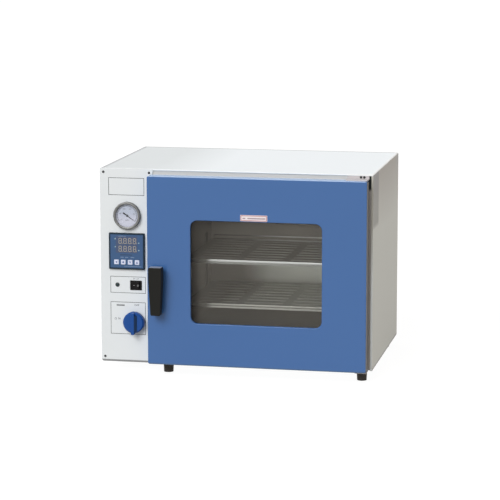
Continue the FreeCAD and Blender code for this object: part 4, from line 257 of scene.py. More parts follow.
paintedLightAndShade = {
    # painted highlights on the casing's top, lighter to the right and along its front and right edges;
    # painted shade on its left and rear bends, on the lip beside the door, on the side's top, rear corner and
    # foot, and along the panel's foot; a painted reflection as a dark patch at the side's front
    "outer_casing": (
        ("caseEnamel", (0.905, 0.950, 0.980), ("top", 1.8, 0.4), ("left", 140, 300)),
        ("caseEnamel", (0.97, 0.98, 0.98), ("top", 1.8, 0.4), ("right", 6.5, 4.5)),
        ("caseEnamel", (0.97, 0.98, 0.98), ("top", 1.8, 0.4), ("front", 11, 5)),
        ("caseEnamel", (0.33, 0.33, 0.35), ("top", 1.8, 0.4), ("left", 13, 3)),
        ("caseEnamel", (0.44, 0.45, 0.45), ("top", 1.8, 0.4), ("back", 16, 2)),
        ("caseEnamel", (0.46, 0.45, 0.405), ("right", 6, 5), ("front", 2, 1), ("top", 2.5, 3.5),
         ("foot", 210, 390)),
        ("sideShadeEnamel", (0.37, 0.33, 0.275), ("top", 160, 10)),
        ("sideShadeEnamel", (0.240, 0.225, 0.185), ("front", 101, 91), ("top", 144, 132)),
        ("sideShadeEnamel", (0.19, 0.165, 0.150), ("front", 101, 91), ("top", 144, 132), ("top", 85, 40)),
        ("sideShadeEnamel", (0.34, 0.34, 0.33), ("back", 64, 9), ("top", 60, 5)),
        ("sideShadeEnamel", (0.34, 0.33, 0.30), ("foot", 7, 3)),
        ("whiteEnamel", (0.26, 0.27, 0.28), ("foot", 2.6, 1.6)),
    ),
    # painted highlight on the door's top face and painted shade at its foot; painted shade on the frame strip
    # above the door and in the gap at its right, with a black painted shadow there by the top hinge
    "door_skin": (
        ("blueEnamel", (0.40, 0.57, 0.86), ("top", 1.2, 0.4)),
        ("blueEnamel", (0.060, 0.122, 0.230), ("foot", 5.5, 1)),
        ("frameEnamel", (0.64, 0.635, 0.62), ("top", 1, -1)),
        ("frameEnamel", (0.50, 0.475, 0.460), ("right", 4.5, 2.5)),
        ("frameEnamel", (0.010, 0.014, 0.012), ("right", 4.5, 2.5), ("top", 31, 23)),
    ),
    # painted shade on the window pane, darker at its left edge and in its upper left
    "window_pane": (
        ("paneGlass", (0.11, 0.10, 0.09), ("left", 36.75, 30.75)),
        ("paneGlass", (0.140, 0.130, 0.113), ("left", 125.75, 55.75), ("top", 120.75, 90.75)),
    ),
    # painted light on the lower shelf towards the right; painted shade on its fold, with a dark painted line
    # between the fold's two highlights
    "shelf_lower": (
        ("shelfSteelShade", (0.62, 0.635, 0.58), ("left", 80, 160), ("top", -15, -13)),
        ("shelfFoldLit", (0.55, 0.55, 0.50), ("top", -66, -65)),
        ("shelfFoldLit", (0.20, 0.20, 0.175), ("top", 3, 3.6), ("top", 7, 6.4)),
    ),
    # painted shade on the upper shelf's fold under its bright line and at its left end, where the door
    # frame's shadow falls, and on the stop rail's left part
    "shelf_upper": (
        ("shelfFoldLit", (0.34, 0.355, 0.33), ("top", 3.6, 5.6), ("foot", -41, -40)),
        ("shelfFoldLit", (0.10, 0.10, 0.085), ("left", 71, 54)),
        ("shelfWireLit", (0.20, 0.19, 0.165), ("left", 190, 100)),
    ),
    # a painted pool of light on the chamber's back wall, to the right between the shelves
    "chamber": (
        ("chamberSteel", (0.90, 0.93, 0.86), ("left", 125, 205), ("top", 192, 222), ("foot", 83, 133)),
    ),
    # painted shade on the dial's upper part
    "gauge_bezel": (("dialWhite", (0.50, 0.55, 0.66), ("foot", 23.2, 45.2)),),
}


def addBand(tree, node, name, start, end):                  # 0 at start and 1 at end, in mm in from a side
    axis, limit, inward = side(node, name)
    first, last = (limit + inward * start) * 0.001, (limit + inward * end) * 0.001
    place = tree.nodes.new("ShaderNodeTexCoord")
    split = addNode(tree, "ShaderNodeSeparateXYZ", Vector=place.outputs["Object"])
    fit = addNode(tree, "ShaderNodeMapRange", Value=split.outputs[axis], From_Min=first, From_Max=last)
    return fit.outputs["Result"]


def addPaintedLightAndShade(node, key, colour, *bands):                     # the painted light or shade's colour holds where every band is 1
    tree = finish[key].node_tree
    mask = addBand(tree, node, *bands[0])
    for other in bands[1:]:
        mask = addMath(tree, "MULTIPLY", mask, addBand(tree, node, *other))
    base = tree.nodes["Principled BSDF"].inputs["Base Color"]
    under = base.links[0].from_socket if base.is_linked else base.default_value[:]
    tree.links.new(addMix(tree, mask, under, (*colour, 1)), base)


for node, rows in paintedLightAndShade.items():
    for row in rows:
        addPaintedLightAndShade(node, *row)
print("finishes:", len(finish))


# making and finishing a piece

making = {"weld": 0.002, "flat": 0.6, "smooth": 35.0, "sharp": 40.0, "bevelSteps": 2}   # mm, degrees, steps


def newPiece(name, mesh, finishes=()):
    piece = bpy.data.objects.new(name, mesh)
    scene.collection.objects.link(piece)
    for key in finishes:
        mesh.materials.append(finish[key])
    return piece


def bakeModifiers(piece):
    depsgraph = bpy.context.evaluated_depsgraph_get()
    baked = bpy.data.meshes.new_from_object(piece.evaluated_get(depsgraph), depsgraph=depsgraph)
    piece.modifiers.clear()
    piece.data = baked


def settle(piece, node, replaced=(), smooth=making["smooth"], bevel=0.0):
    # broken edges and smooth faces, then the body of the node that the piece belongs to
    if bevel:
        edge = piece.modifiers.new("edge", "BEVEL")
        edge.width = bevel * 0.001
        edge.segments = making["bevelSteps"]
        edge.limit_method = "ANGLE"
        edge.angle_limit = math.radians(making["sharp"])
        edge.use_clamp_overlap = True
        bakeModifiers(piece)
    for face in piece.data.polygons:
        face.use_smooth = True
    piece.data.set_sharp_from_angle(angle=math.radians(smooth))
    if bevel:
        even = piece.modifiers.new("even", "WEIGHTED_NORMAL")
        even.keep_sharp = True
    body, slot = bodyOf[node], slotOf[node]
    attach(piece, body)
    if replaced:
        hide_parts(*replaced)


def fromShape(name, shape, finishes, node, replaced=(), **how):
    mesh = bpy.data.meshes.new(name)
    shape.normal_update()
    shape.to_mesh(mesh)
    shape.free()
    settle(newPiece(name, mesh, finishes), node, replaced, **how)


def outermost(node, name, near, square=0.9):
    # picks the faces within so many mm of a node's side that look that way, for the second finish
    axis, limit, inward = side(node, name)

    def pick(face):
        close = abs(face.calc_center_median()[axis] * 1000 - limit) < near
        return 1 if close and face.normal[axis] * -inward > square else 0

    return pick


def refined(node, name, finishes, bevel=0.0, pick=None):
    # a merged copy of a CAD node with its edges broken, which then stands for it
    shape = bmesh.new()
    shape.from_mesh(frame["nodes"][node].data)
    bmesh.ops.remove_doubles(shape, verts=shape.verts, dist=making["weld"] * 0.001)
    flat = math.radians(making["flat"])
    bmesh.ops.dissolve_limit(shape, angle_limit=flat, verts=shape.verts, edges=shape.edges)
    for face in shape.faces:
        face.material_index = pick(face) if pick else 0
    fromShape(name, shape, finishes, node, (node,), bevel=bevel)


def dress(key, *nodes):                                     # CAD nodes that stay, with a better finish
    for node in nodes:
        for slot in frame["nodes"][node].material_slots:
            slot.material = finish[key]


# shapes, all in millimetres

def closeUp(shape, faces, index):
    for face in faces:
        face.material_index = index
    bmesh.ops.recalc_face_normals(shape, faces=faces)


def oblong(x0, x1, z0, z1):
    return [(x0, z0), (x1, z0), (x1, z1), (x0, z1)]


def disc(x, z, radius, count=32):
    turn = [math.tau * k / count for k in range(count)]
    return [(x + radius * math.cos(a), z + radius * math.sin(a)) for a in turn]


def roundedBox(x0, x1, z0, z1, radius, steps=6):
    points = []
    for cx, cz, start in ((x1 - radius, z1 - radius, 0), (x0 + radius, z1 - radius, 90),
                          (x0 + radius, z0 + radius, 180), (x1 - radius, z0 + radius, 270)):
        for k in range(steps + 1):
            angle = math.radians(start + 90 * k / steps)
            points.append((cx + radius * math.cos(angle), cz + radius * math.sin(angle)))
    return points


def addPrism(shape, points, back, front, index=0):
    # points are (x, z) pairs round the outline; it stands from y = back to y = front
    rear = [shape.verts.new(mm(x, back, z)) for x, z in points]
    fore = [shape.verts.new(mm(x, front, z)) for x, z in points]
    faces = [shape.faces.new(rear[::-1]), shape.faces.new(fore)]
    for k in range(len(points)):
        j = (k + 1) % len(points)
        faces.append(shape.faces.new([rear[k], rear[j], fore[j], fore[k]]))
    closeUp(shape, faces, index)


def addFrame(shape, x0, x1, z0, z1, width, back, front, index=0):
    rings = []
    for inset in (0, width):
        points = oblong(x0 + inset, x1 - inset, z0 + inset, z1 - inset)
        rings.append([[shape.verts.new(mm(x, y, z)) for x, z in points] for y in (back, front)])
    (outBack, outFront), (inBack, inFront) = rings
    faces = []
    for k in range(4):
        j = (k + 1) % 4
        for first, second in ((outFront, inFront), (inFront, inBack), (inBack, outBack), (outBack, outFront)):
            faces.append(shape.faces.new([first[k], first[j], second[j], second[k]]))
    closeUp(shape, faces, index)


def addLathe(shape, x, z, profile, index=0, count=96):
    # profile holds (y, radius) pairs and is closed on itself or on the axis
    rings = []
    for y, radius in profile:
        turn = disc(x, z, radius, 1 if radius == 0 else count)
        rings.append([shape.verts.new(mm(across, y, up)) for across, up in turn])
    closed = profile[0][1] > 0
    faces = []
    for first, second in zip(rings, rings[1:] + rings[:1] if closed else rings[1:]):
        if len(first) == 1 and len(second) == 1:
            continue
        for k in range(count):
            j = (k + 1) % count
            if len(first) == 1:
                corners = [first[0], second[j], second[k]]
            elif len(second) == 1:
                corners = [first[k], first[j], second[0]]
            else:
                corners = [first[k], first[j], second[j], second[k]]
            faces.append(shape.faces.new(corners))
    closeUp(shape, faces, index)


def rounded(profile, corners, steps=5):
    # rounds the named corners of a profile; corners holds {place in the list: radius}
    result = []
    for k, point in enumerate(profile):
        if k not in corners:
            result.append(point)
            continue
        here, before, after = (Vector(profile[j % len(profile)]) for j in (k, k - 1, k + 1))
        start = here + (before - here).normalized() * corners[k]
        end = here + (after - here).normalized() * corners[k]
        for step in range(steps + 1):
            t = step / steps
            result.append(tuple((1 - t) ** 2 * start + 2 * t * (1 - t) * here + t * t * end))
    return result


# print and lettering

flatPrint = {
    "letter": 1.5, "space": 0.45,                           # the small blocks that stand for fine print
    "capital": 1.35,                                        # text size over the height of a capital
    "thick": 0.3, "lift": 0.1, "weld": 0.001,               # print that follows a curved face
    "smooth": 20.0,
}


def addFinePrint(shape, x0, x1, z, tall, back, front, index=0):
    space = flatPrint["space"]
    count = max(1, round((x1 - x0 + space) / (flatPrint["letter"] + space)))
    step = (x1 - x0 + space) / count
    for k in range(count):
        left = x0 + k * step
        addPrism(shape, oblong(left, left + step - space, z - tall / 2, z + tall / 2), back, front, index)


def addWord(shape, text, height, x, z, back, front, across=1.0):
    curve = bpy.data.curves.new("word", "FONT")
    curve.body = text
    curve.size = height * 0.001 * flatPrint["capital"]
    curve.align_x = "CENTER"
    curve.align_y = "CENTER"
    curve.resolution_u = 3
    curve.extrude = abs(front - back) * 0.0005
    writing = newPiece("word", curve)
    mesh = bpy.data.meshes.new_from_object(writing)
    bpy.data.objects.remove(writing)
    bpy.data.curves.remove(curve)
    place = Matrix.Translation(mm(x, (back + front) / 2, z)) @ Matrix.Rotation(math.pi / 2, 4, "X")
    mesh.transform(place @ Matrix.Diagonal((across, 1, 1, 1)))
    shape.from_mesh(mesh)
    bpy.data.meshes.remove(mesh)


def addPatch(shape, x0, x1, z0, z1, across, up):            # in short lengths, which lieOn bends over a face
    for i in range(across):
        left, right = (x0 + (x1 - x0) * (i + end) / across for end in (0, 1))
        for k in range(up):
            foot, top = (z0 + (z1 - z0) * (k + end) / up for end in (0, 1))
            addPrism(shape, oblong(left, right, foot, top), flatPrint["thick"], 0)


def lieOn(shape, node):                                     # print drawn near y = 0 moves onto a node's front
    mesh = frame["nodes"][node].data
    tree = BVHTree.FromPolygons([v.co for v in mesh.vertices], [p.vertices[:] for p in mesh.polygons])
    for vertex in shape.verts:
        start = Vector((vertex.co.x, -1.0, vertex.co.z))    # from a metre in front
        hit = tree.ray_cast(start, Vector((0, 1, 0)))[0]
        if hit is not None:
            vertex.co.y = hit.y - flatPrint["lift"] * 0.001 + vertex.co.y
    bmesh.ops.remove_doubles(shape, verts=shape.verts, dist=flatPrint["weld"] * 0.001)


def layPrint(name, shape, finishes, node):
    fromShape(name, shape, finishes, node, smooth=flatPrint["smooth"])


# what repeats: screws and dial marks, by Geometry Nodes

def nodeTree(name, inputs):                                 # an empty tree and the sockets that it is given
    tree = bpy.data.node_groups.new(name, "GeometryNodeTree")
    tree.interface.new_socket("Geometry", in_out="INPUT", socket_type="NodeSocketGeometry")
    for label, kind, value in inputs:
        socket = tree.interface.new_socket(label, in_out="INPUT", socket_type="NodeSocket" + kind)
        if value is not None:
            socket.default_value = value
    tree.interface.new_socket("Geometry", in_out="OUTPUT", socket_type="NodeSocketGeometry")
    return tree, {socket.name: socket for socket in tree.nodes.new("NodeGroupInput").outputs}


def endTree(tree, instances):
    real = addNode(tree, "GeometryNodeRealizeInstances", Geometry=instances)
    addNode(tree, "NodeGroupOutput", Geometry=real.outputs["Geometry"])
    return tree


def painted(tree, geometry, material):
    return addNode(tree, "GeometryNodeSetMaterial", Geometry=geometry, Material=material).outputs["Geometry"]


def buildScrewTree():
    tree, given = nodeTree("screwHeads", [
        ("Head radius", "Float", 0.003), ("Head height", "Float", 0.0012), ("Top share", "Float", 0.72),
        ("Slot length", "Float", 0.004), ("Slot width", "Float", 0.0008), ("Slot depth", "Float", 0.0001),
        ("Facing", "Rotation", None), ("Seed", "Int", 4),
        ("Head finish", "Material", None), ("Slot finish", "Material", None)])
    top = addMath(tree, "MULTIPLY", given["Head radius"], given["Top share"])
    head = addNode(tree, "GeometryNodeMeshCone", Vertices=28, Fill_Segments=1, Radius_Top=top,
                   Radius_Bottom=given["Head radius"], Depth=given["Head height"])
    join = addNode(tree, "GeometryNodeJoinGeometry",
                   Geometry=painted(tree, head.outputs["Mesh"], given["Head finish"]))
    long, wide = given["Slot length"], given["Slot width"]
    for across, up in ((long, wide), (wide, long)):         # the two arms of the cross recess
        arm = addNode(tree, "GeometryNodeMeshCube", Size=addVector(tree, across, up, given["Slot depth"]))
        lift = addVector(tree, 0, 0, given["Head height"])
        moved = addNode(tree, "GeometryNodeTransform", Geometry=arm.outputs["Mesh"], Translation=lift)
        # the cross is a flat dark mark on the head, painted shade in the recess
        recessShade = painted(tree, moved.outputs["Geometry"], given["Slot finish"])
        tree.links.new(recessShade, join.inputs["Geometry"])
    put = addNode(tree, "GeometryNodeInstanceOnPoints", Points=given["Geometry"],
                  Instance=join.outputs["Geometry"], Rotation=given["Facing"])
    lucky = addNode(tree, "FunctionNodeRandomValue", {"data_type": "FLOAT"}, Seed=given["Seed"])
    lucky.inputs[3].default_value = math.tau / 4            # any angle of the cross
    turned = addNode(tree, "GeometryNodeRotateInstances", Instances=put.outputs["Instances"],
                     Rotation=addVector(tree, 0, 0, lucky.outputs[1]))
    return endTree(tree, turned.outputs["Instances"])


def buildTickTree():
    tree, given = nodeTree("dialTicks", [
        ("Centre", "Vector", None), ("Radius", "Float", 0.024), ("Tick count", "Int", 51),
        ("First angle", "Float", -35.0), ("Sweep", "Float", 250.0), ("Tick length", "Float", 0.0016),
        ("Tick width", "Float", 0.0003), ("Tick depth", "Float", 0.0001), ("Long every", "Int", 10),
        ("Long factor", "Float", 1.8), ("Ink", "Material", None)])

    def calc(operation, first, second=0.0):
        return addMath(tree, operation, first, second)

    index = tree.nodes.new("GeometryNodeInputIndex").outputs[0]
    share = calc("DIVIDE", index, calc("SUBTRACT", given["Tick count"], 1.0))
    degrees = calc("ADD", given["First angle"], calc("MULTIPLY", share, given["Sweep"]))
    angle = calc("MULTIPLY", degrees, math.pi / 180)
    ray = addVector(tree, calc("COSINE", angle), 0, calc("SINE", angle))
    isLong = calc("LESS_THAN", calc("MODULO", index, given["Long every"]), 0.5)
    stretch = calc("ADD", 1.0, calc("MULTIPLY", isLong, calc("SUBTRACT", given["Long factor"], 1.0)))
    inward = calc("MULTIPLY", calc("MULTIPLY", stretch, given["Tick length"]), 0.5)
    reach = calc("SUBTRACT", given["Radius"], inward)
    scaled = addNode(tree, "ShaderNodeVectorMath", {"operation": "SCALE"}, Vector=ray, Scale=reach)
    place = tree.nodes.new("ShaderNodeVectorMath")          # it adds
    tree.links.new(scaled.outputs[0], place.inputs[0])
    tree.links.new(given["Centre"], place.inputs[1])
    points = addNode(tree, "GeometryNodePoints", Count=given["Tick count"], Position=place.outputs[0])
    size = addVector(tree, given["Tick length"], given["Tick depth"], given["Tick width"])
    bar = addNode(tree, "GeometryNodeMeshCube", Size=size)
    put = addNode(tree, "GeometryNodeInstanceOnPoints", Points=points.outputs[0],
                  Instance=painted(tree, bar.outputs["Mesh"], given["Ink"]),
                  Rotation=addVector(tree, 0, calc("MULTIPLY", angle, -1.0), 0),
                  Scale=addVector(tree, stretch, 1, 1))
    return endTree(tree, put.outputs["Instances"])


def grown(name, tree, points, values, node, replaced=()):
    # runs a node tree over some points and keeps its result as a plain mesh
    mesh = bpy.data.meshes.new(name)
    mesh.from_pydata([tuple(point) for point in points], [], [])
    piece = newPiece(name, mesh)
    modifier = piece.modifiers.new("grow", "NODES")
    modifier.node_group = tree
    keys = {item.name: item.identifier for item in tree.interface.items_tree if item.in_out == "INPUT"}
    for label, value in values.items():
        modifier[keys[label]] = value
    bakeModifiers(piece)
    settle(piece, node, replaced)


screwTree = buildScrewTree()
tickTree = buildTickTree()
print("node trees built")


# the cabinet

# the right side's faces take the shaded copy of the enamel, painted shade
caseSide = outermost("outer_casing", "right", 10.0)
refined("outer_casing", "casingShell", ["caseEnamel", "sideShadeEnamel"], bevel=0.5, pick=caseSide)
refined("control_panel", "controlPanel", ["whiteEnamel"], bevel=0.4)
refined("front_frame", "frontFrame", ["frameEnamel"])
refined("rear_panel", "rearPanel", ["rearEnamel"])
dress("zincSheet", "base_pan", "bay_partition", "chamber_rails")
dress("blackEnamel", "pane_retainer")
dress("glassWool", "insulation")
dress("heaterPlate", "heater_plates")
refined("latch_striker", "strikerPlate", ["brightPlate"], bevel=0.3)

panelFront = limits("control_panel")[0].y
printed = {                                                 # places are x and z from the middle of a piece
    "sunk": 0.05, "stands": 0.12,
    "frames": {                                             # left, right, foot, top and the line's width
        "gauge_bezel": (-50.5, 45.5, 53.0, 99.0, 1.3),
        "switch_body": (-69.0, 26.0, -21.5, 22.8, 1.2),
        "valve_knob": (-65.2, 29.4, -32.8, 53.3, 1.3),
    },
    "words": (                                              # text, height, piece, x, z and widening
        ("OFF", 4.6, "valve_knob", 5.6, 45.4, 1.25),
        ("O", 6.0, "valve_knob", -51.6, 7.6, 1.0),
        ("N", 6.0, "valve_knob", -42.0, 7.9, 1.0),
        ("ON", 3.0, "switch_body", -5.0, 17.2, 1.0),
        ("OFF", 3.0, "switch_body", 5.0, 17.2, 1.0),
    ),
    "fine": ("valve_knob", -49.0, -27.5, 44.3, 3.8),        # piece, left, right, z and height
}
# a dark strip under the control panel, a painted shadow
panelShadowStrip = {"drop": 3.2, "short": 4.0, "lean": 1.5, "up": 0.2, "front": 0.6, "back": 6.0}


def makePanelPrint():
    shape = bmesh.new()
    depth = panelFront + printed["sunk"], panelFront - printed["stands"]
    for node, (x0, x1, z0, z1, width) in printed["frames"].items():
        x, z = middle(node)
        addFrame(shape, x + x0, x + x1, z + z0, z + z1, width, *depth)
    for text, height, node, aside, up, across in printed["words"]:
        x, z = middle(node)
        addWord(shape, text, height, x + aside, z + up, *depth, across)
    node, x0, x1, up, tall = printed["fine"]
    x, z = middle(node)
    addFinePrint(shape, x + x0, x + x1, z + up, tall, *depth)
    layPrint("panelPrint", shape, ["frameInk"], "control_panel")


def makePanelShadowStrip():                                          # a dark strip under the panel, a painted shadow at the base sheet's edge
    low, high = limits("control_panel")
    lower, upper = low.z - panelShadowStrip["drop"], low.z + panelShadowStrip["up"]
    short, lean = low.x + panelShadowStrip["short"], low.x + panelShadowStrip["lean"]
    outline = [(short, lower), (high.x, lower), (high.x, upper), (lean, upper)]
    shape = bmesh.new()
    addPrism(shape, outline, panelFront + panelShadowStrip["back"], panelFront + panelShadowStrip["front"])
    fromShape("panelShadowStrip", shape, ["lipShade"], "control_panel")


makePanelPrint()
makePanelShadowStrip()
print("cabinet dressed")


# the chamber and its shelves

refined("chamber", "chamberLiner", ["chamberSteel"])
refined("chamber_seal", "doorSeal", ["redSilicone"], bevel=0.6)
for node in ("shelf_lower", "shelf_upper"):
    # the front folds take the lit copy and the rest the shaded copy: painted highlight and painted shade
    fold = outermost(node, "front", 2.0, 0.7)
    refined(node, node.replace("shelf_", "") + "Shelf", ["shelfSteelShade", "shelfFoldLit"], pick=fold)
dress("shelfSteelShade", "shelf_rack_left", "shelf_rack_right")
refined("temperature_probe", "probe", ["turnedSteel"])

stopRail = {
    "tall": 3.4, "deep": 2.6, "rise": 12.0, "posts": 2, "postWide": 2.0,
    "inset": 2.0, "short": 4.0, "edgeTall": 3.0, "sunk": 0.2,
}


def makeStopRail():                                         # a bar behind the upper shelf, on its own posts
    low, high = limits("shelf_upper")
    left, right = low.x + stopRail["short"], high.x - stopRail["short"]
    y, z, foot = high.y - stopRail["inset"], high.z + stopRail["rise"], high.z - stopRail["sunk"]
    depth = y + stopRail["deep"] / 2, y - stopRail["deep"] / 2
    half, wide = stopRail["tall"] / 2, stopRail["postWide"]
    shape = bmesh.new()
    addPrism(shape, oblong(left, right, z - half, z + half), *depth)
    addPrism(shape, oblong(left, right, foot, high.z + stopRail["edgeTall"]), *depth)
    for k in range(stopRail["posts"]):
        x = left + (right - left - wide) * k / (stopRail["posts"] - 1)
        addPrism(shape, oblong(x, x + wide, foot, z), *depth)
    # the rail takes the lit copy of the steel, a painted highlight
    fromShape("stopRail", shape, ["shelfWireLit"], "shelf_upper")


makeStopRail()
print("chamber dressed")


# the door

doorEdge = outermost("door_skin", "right", 9.5)
refined("door_skin", "doorShell", ["blueEnamel", "doorReturn"], 0.5, doorEdge)
refined("door_inner_frame", "doorInnerFrame", ["doorSteel"])
dress("paneGlass", "door_glass", "window_pane")
dress("redSilicone", "glass_cushion")
refined("glass_clamps", "glassClamps", ["clampSteel"], bevel=0.3)
refined("door_bushes", "doorBushes", ["bronze"])

label = {
    "corner": 1.5, "inset": 1.0, "line": 1.6, "stands": 0.08,
    "groups": ((6.0, 13.0), (19.0, 65.5)),                  # blocks of fine print, in from the left
    "print": 3.0, "down": 0.6,
}


def makeLabel():
    low, high = limits("label_plate")
    inset, depth = label["inset"], (high.y, low.y - label["stands"])
    x0, x1, z0, z1 = low.x + inset, high.x - inset, low.z + inset, high.z - inset
    z = middle("label_plate")[1] - label["down"]
    shape = bmesh.new()
    addPrism(shape, roundedBox(low.x, high.x, low.z, high.z, label["corner"]), high.y, low.y)
    addFrame(shape, x0, x1, z0, z1, label["line"], *depth, 1)
    for start, end in label["groups"]:
        addFinePrint(shape, low.x + start, low.x + end, z, label["print"], *depth, 2)
    fromShape("ratingLabel", shape, ["plateRose", "plateEdge", "plateInk"], "label_plate", ("label_plate",))


makeLabel()
print("door dressed")


# the handle and the hinge

# the top faces take the lighter finish, a painted highlight
handleTopLit = outermost("door_handle", "top", 3.6)
refined("door_handle", "handleLever", ["handleBlack", "handleTopLit"], 0.5, handleTopLit)
refined("handle_shaft", "handleShaft", ["turnedSteel"])
refined("latch_cam", "latchCam", ["turnedSteel"], bevel=0.3)
refined("hinge_brackets", "hingeBrackets", ["hingePlate"], bevel=0.3)
# the hinge screws near black, painted shade
refined("hinge_screws", "hingeScrews", ["screwShade"], bevel=0.1)
print("handle and hinge dressed")


# screws at the panel's corners and round the rear panel

screws = {
    "panel": {"Head radius": 0.0034, "Head height": 0.0015, "Slot length": 0.0038, "Slot width": 0.0008,
              "Seed": 3, "Facing": (math.pi / 2, 0, 0)},
    "rear": {"Head radius": 0.0036, "Head height": 0.0018, "Slot length": 0.0044, "Slot width": 0.0009,
             "Seed": 8, "Facing": (-math.pi / 2, 0, 0)},
    "rearInset": 9.0, "rearAlong": 5, "rearUp": 2,
}


def setScrews(name, kind, points, key, node, replaced=()):
    values = {**screws[kind], "Head finish": finish[key], "Slot finish": finish["screwShade"]}
    grown(name, screwTree, [mm(*point) for point in points], values, node, replaced)


def makePanelScrews():
    low, high = limits("panel_screws")
    inset = screws["panel"]["Head radius"] * 1000
    points = [(x, panelFront, z) for x in (low.x + inset, high.x - inset)
              for z in (low.z + inset, high.z - inset)]
    setScrews("panelScrewHeads", "panel", points, "screwDark", "panel_screws", ("panel_screws",))


def makeRearScrews():
    low, high = limits("rear_panel")
    back, inset, along, up = high.y, screws["rearInset"], screws["rearAlong"], screws["rearUp"]
    left, right, foot, top = low.x + inset, high.x - inset, low.z + inset, high.z - inset
    points = []
    for k in range(along):
        x = left + (right - left) * k / (along - 1)
        points += [(x, back, foot), (x, back, top)]
    for k in range(1, up + 1):
        z = foot + (top - foot) * k / (up + 1)
        points += [(left, back, z), (right, back, z)]
    setScrews("rearScrews", "rear", points, "screwBright", "hinge_screws")


makePanelScrews()
makeRearScrews()
print("screws set")


# the vacuum gauge

gauge = {
    "rim": 36.2, "mouth": 29.8, "body": 32.4, "lip": 4.6, "flare": 1.4, "rimRound": 2.6, "lipRound": 1.2,
    "dialThick": 0.6, "sunk": 0.02, "stands": 0.08,
    "first": -35.0, "sweep": 250.0,
    "marks": ["0", "-0.02", "-0.04", "-0.06", "-0.08", "-0.1"],
    "numbers": 19.2, "numberTall": 3.2, "numberWide": 0.8,
    "unit": "MPa", "unitTall": 3.6, "unitDown": 12.0,
    "ticks": 25.6, "tickLift": 0.03, "arcWide": 0.8, "arcSteps": 60,
}
tickSizes = {                                               # in metres
    "Tick count": 51, "Tick length": 0.0016, "Tick width": 0.0005, "Long every": 10, "Long factor": 1.9,
}


def makeGaugeRim():
    front, lens = limits("gauge_bezel")[0].y, limits("gauge_lens")[0].y
    rim, mouth, body, flare = gauge["rim"], gauge["mouth"], gauge["body"], gauge["flare"]
    profile = [(panelFront, body), (panelFront, rim), (front, rim), (front, rim - gauge["lip"]),
               (front + flare, mouth), (lens + flare, mouth), (lens + flare, body)]
    shape = bmesh.new()
    addLathe(shape, *middle("gauge_bezel"), rounded(profile, {2: gauge["rimRound"], 3: gauge["lipRound"]}))
    fromShape("gaugeRim", shape, ["rimSteel"], "gauge_bezel", ("gauge_bezel",))


def onDial(radius, share):                                  # x and z of a place at a share of the sweep
    x, z = middle("gauge_bezel")
    a = math.radians(gauge["first"] + gauge["sweep"] * share)
    return x + radius * math.cos(a), z + radius * math.sin(a)


def makeDialPrint():
    x, z = middle("gauge_bezel")
    face = limits("gauge_dial")[1].y - gauge["dialThick"]
    depth = face + gauge["sunk"], face - gauge["stands"]
    shape = bmesh.new()
    for k, text in enumerate(gauge["marks"]):
        place = onDial(gauge["numbers"], k / (len(gauge["marks"]) - 1))
        addWord(shape, text, gauge["numberTall"], *place, *depth, gauge["numberWide"])
    addWord(shape, gauge["unit"], gauge["unitTall"], x, z - gauge["unitDown"], *depth)
    shares = [k / gauge["arcSteps"] for k in range(gauge["arcSteps"] + 1)]
    arc = [onDial(gauge["ticks"] + gauge["arcWide"], share) for share in shares]
    arc += [onDial(gauge["ticks"], share) for share in reversed(shares)]
    addPrism(shape, arc, *depth)
    layPrint("dialNumbers", shape, ["dialInk"], "gauge_dial")
    centre = tuple(mm(x, face - gauge["tickLift"], z))
    values = {**tickSizes, "Centre": centre, "Radius": gauge["ticks"] * 0.001, "First angle": gauge["first"],
              "Sweep": gauge["sweep"], "Ink": finish["dialInk"]}
    grown("dialTicks", tickTree, [(0, 0, 0)], values, "gauge_dial")


dress("dialWhite", "gauge_dial")
dress("blackEnamel", "gauge_case")
dress("lensGlass", "gauge_lens")
refined("gauge_needle", "gaugeNeedle", ["needleBlack"])
makeGaugeRim()
makeDialPrint()
print("gauge made")


# the temperature controller

controller = {                                              # places are x and z from the fascia's middle
    "sunk": 0.02, "stands": 0.06,
    "digitWide": 8.4, "digitTall": 15.4, "stroke": 1.5, "gap": 0.25,
    "column": 2.0, "pitch": 12.9, "digits": 4, "rows": (27.4, 6.4),
    "pointAside": 1.2, "point": 0.9, "pointSides": 12,
    "lamps": ((-30.5, 32.5), (-30.5, 11.5), (32.8, 22.5), (32.8, 3.0)), "lamp": 1.7, "lampSides": 20,
    "fine": (                                               # left, right, z, height and finish
        (-17.6, 14.8, -9.6, 2.2, 1), (-22.0, -2.0, 39.6, 1.4, 2), (-7.0, 39.0, -39.6, 1.4, 2),
        (-16.8, -8.5, -16.2, 2.0, 2), (-4.1, 4.0, -16.2, 2.0, 2), (10.7, 20.1, -16.2, 2.0, 2),
    ),
    "keyMark": 3.1, "keySunk": 0.05,
}
segments = {                                                # corners of each bar, as shares of the digit
    "top": (0, 1, 1, 1), "middle": (0, 0.5, 1, 0.5), "bottom": (0, 0, 1, 0),
    "upperLeft": (0, 0.5, 0, 1), "lowerLeft": (0, 0, 0, 0.5),
    "upperRight": (1, 0.5, 1, 1), "lowerRight": (1, 0, 1, 0.5),
}
keyMarks = (                                                # left, round, down and up, as shares of keyMark
    [(-1, 0), (0.7, -1), (0.7, 1)],
    disc(0, 0, 0.8, 24),
    [(-1, 0.8), (0, -1), (1, 0.8)],
    [(-1, -0.8), (1, -0.8), (0, 1)],
)


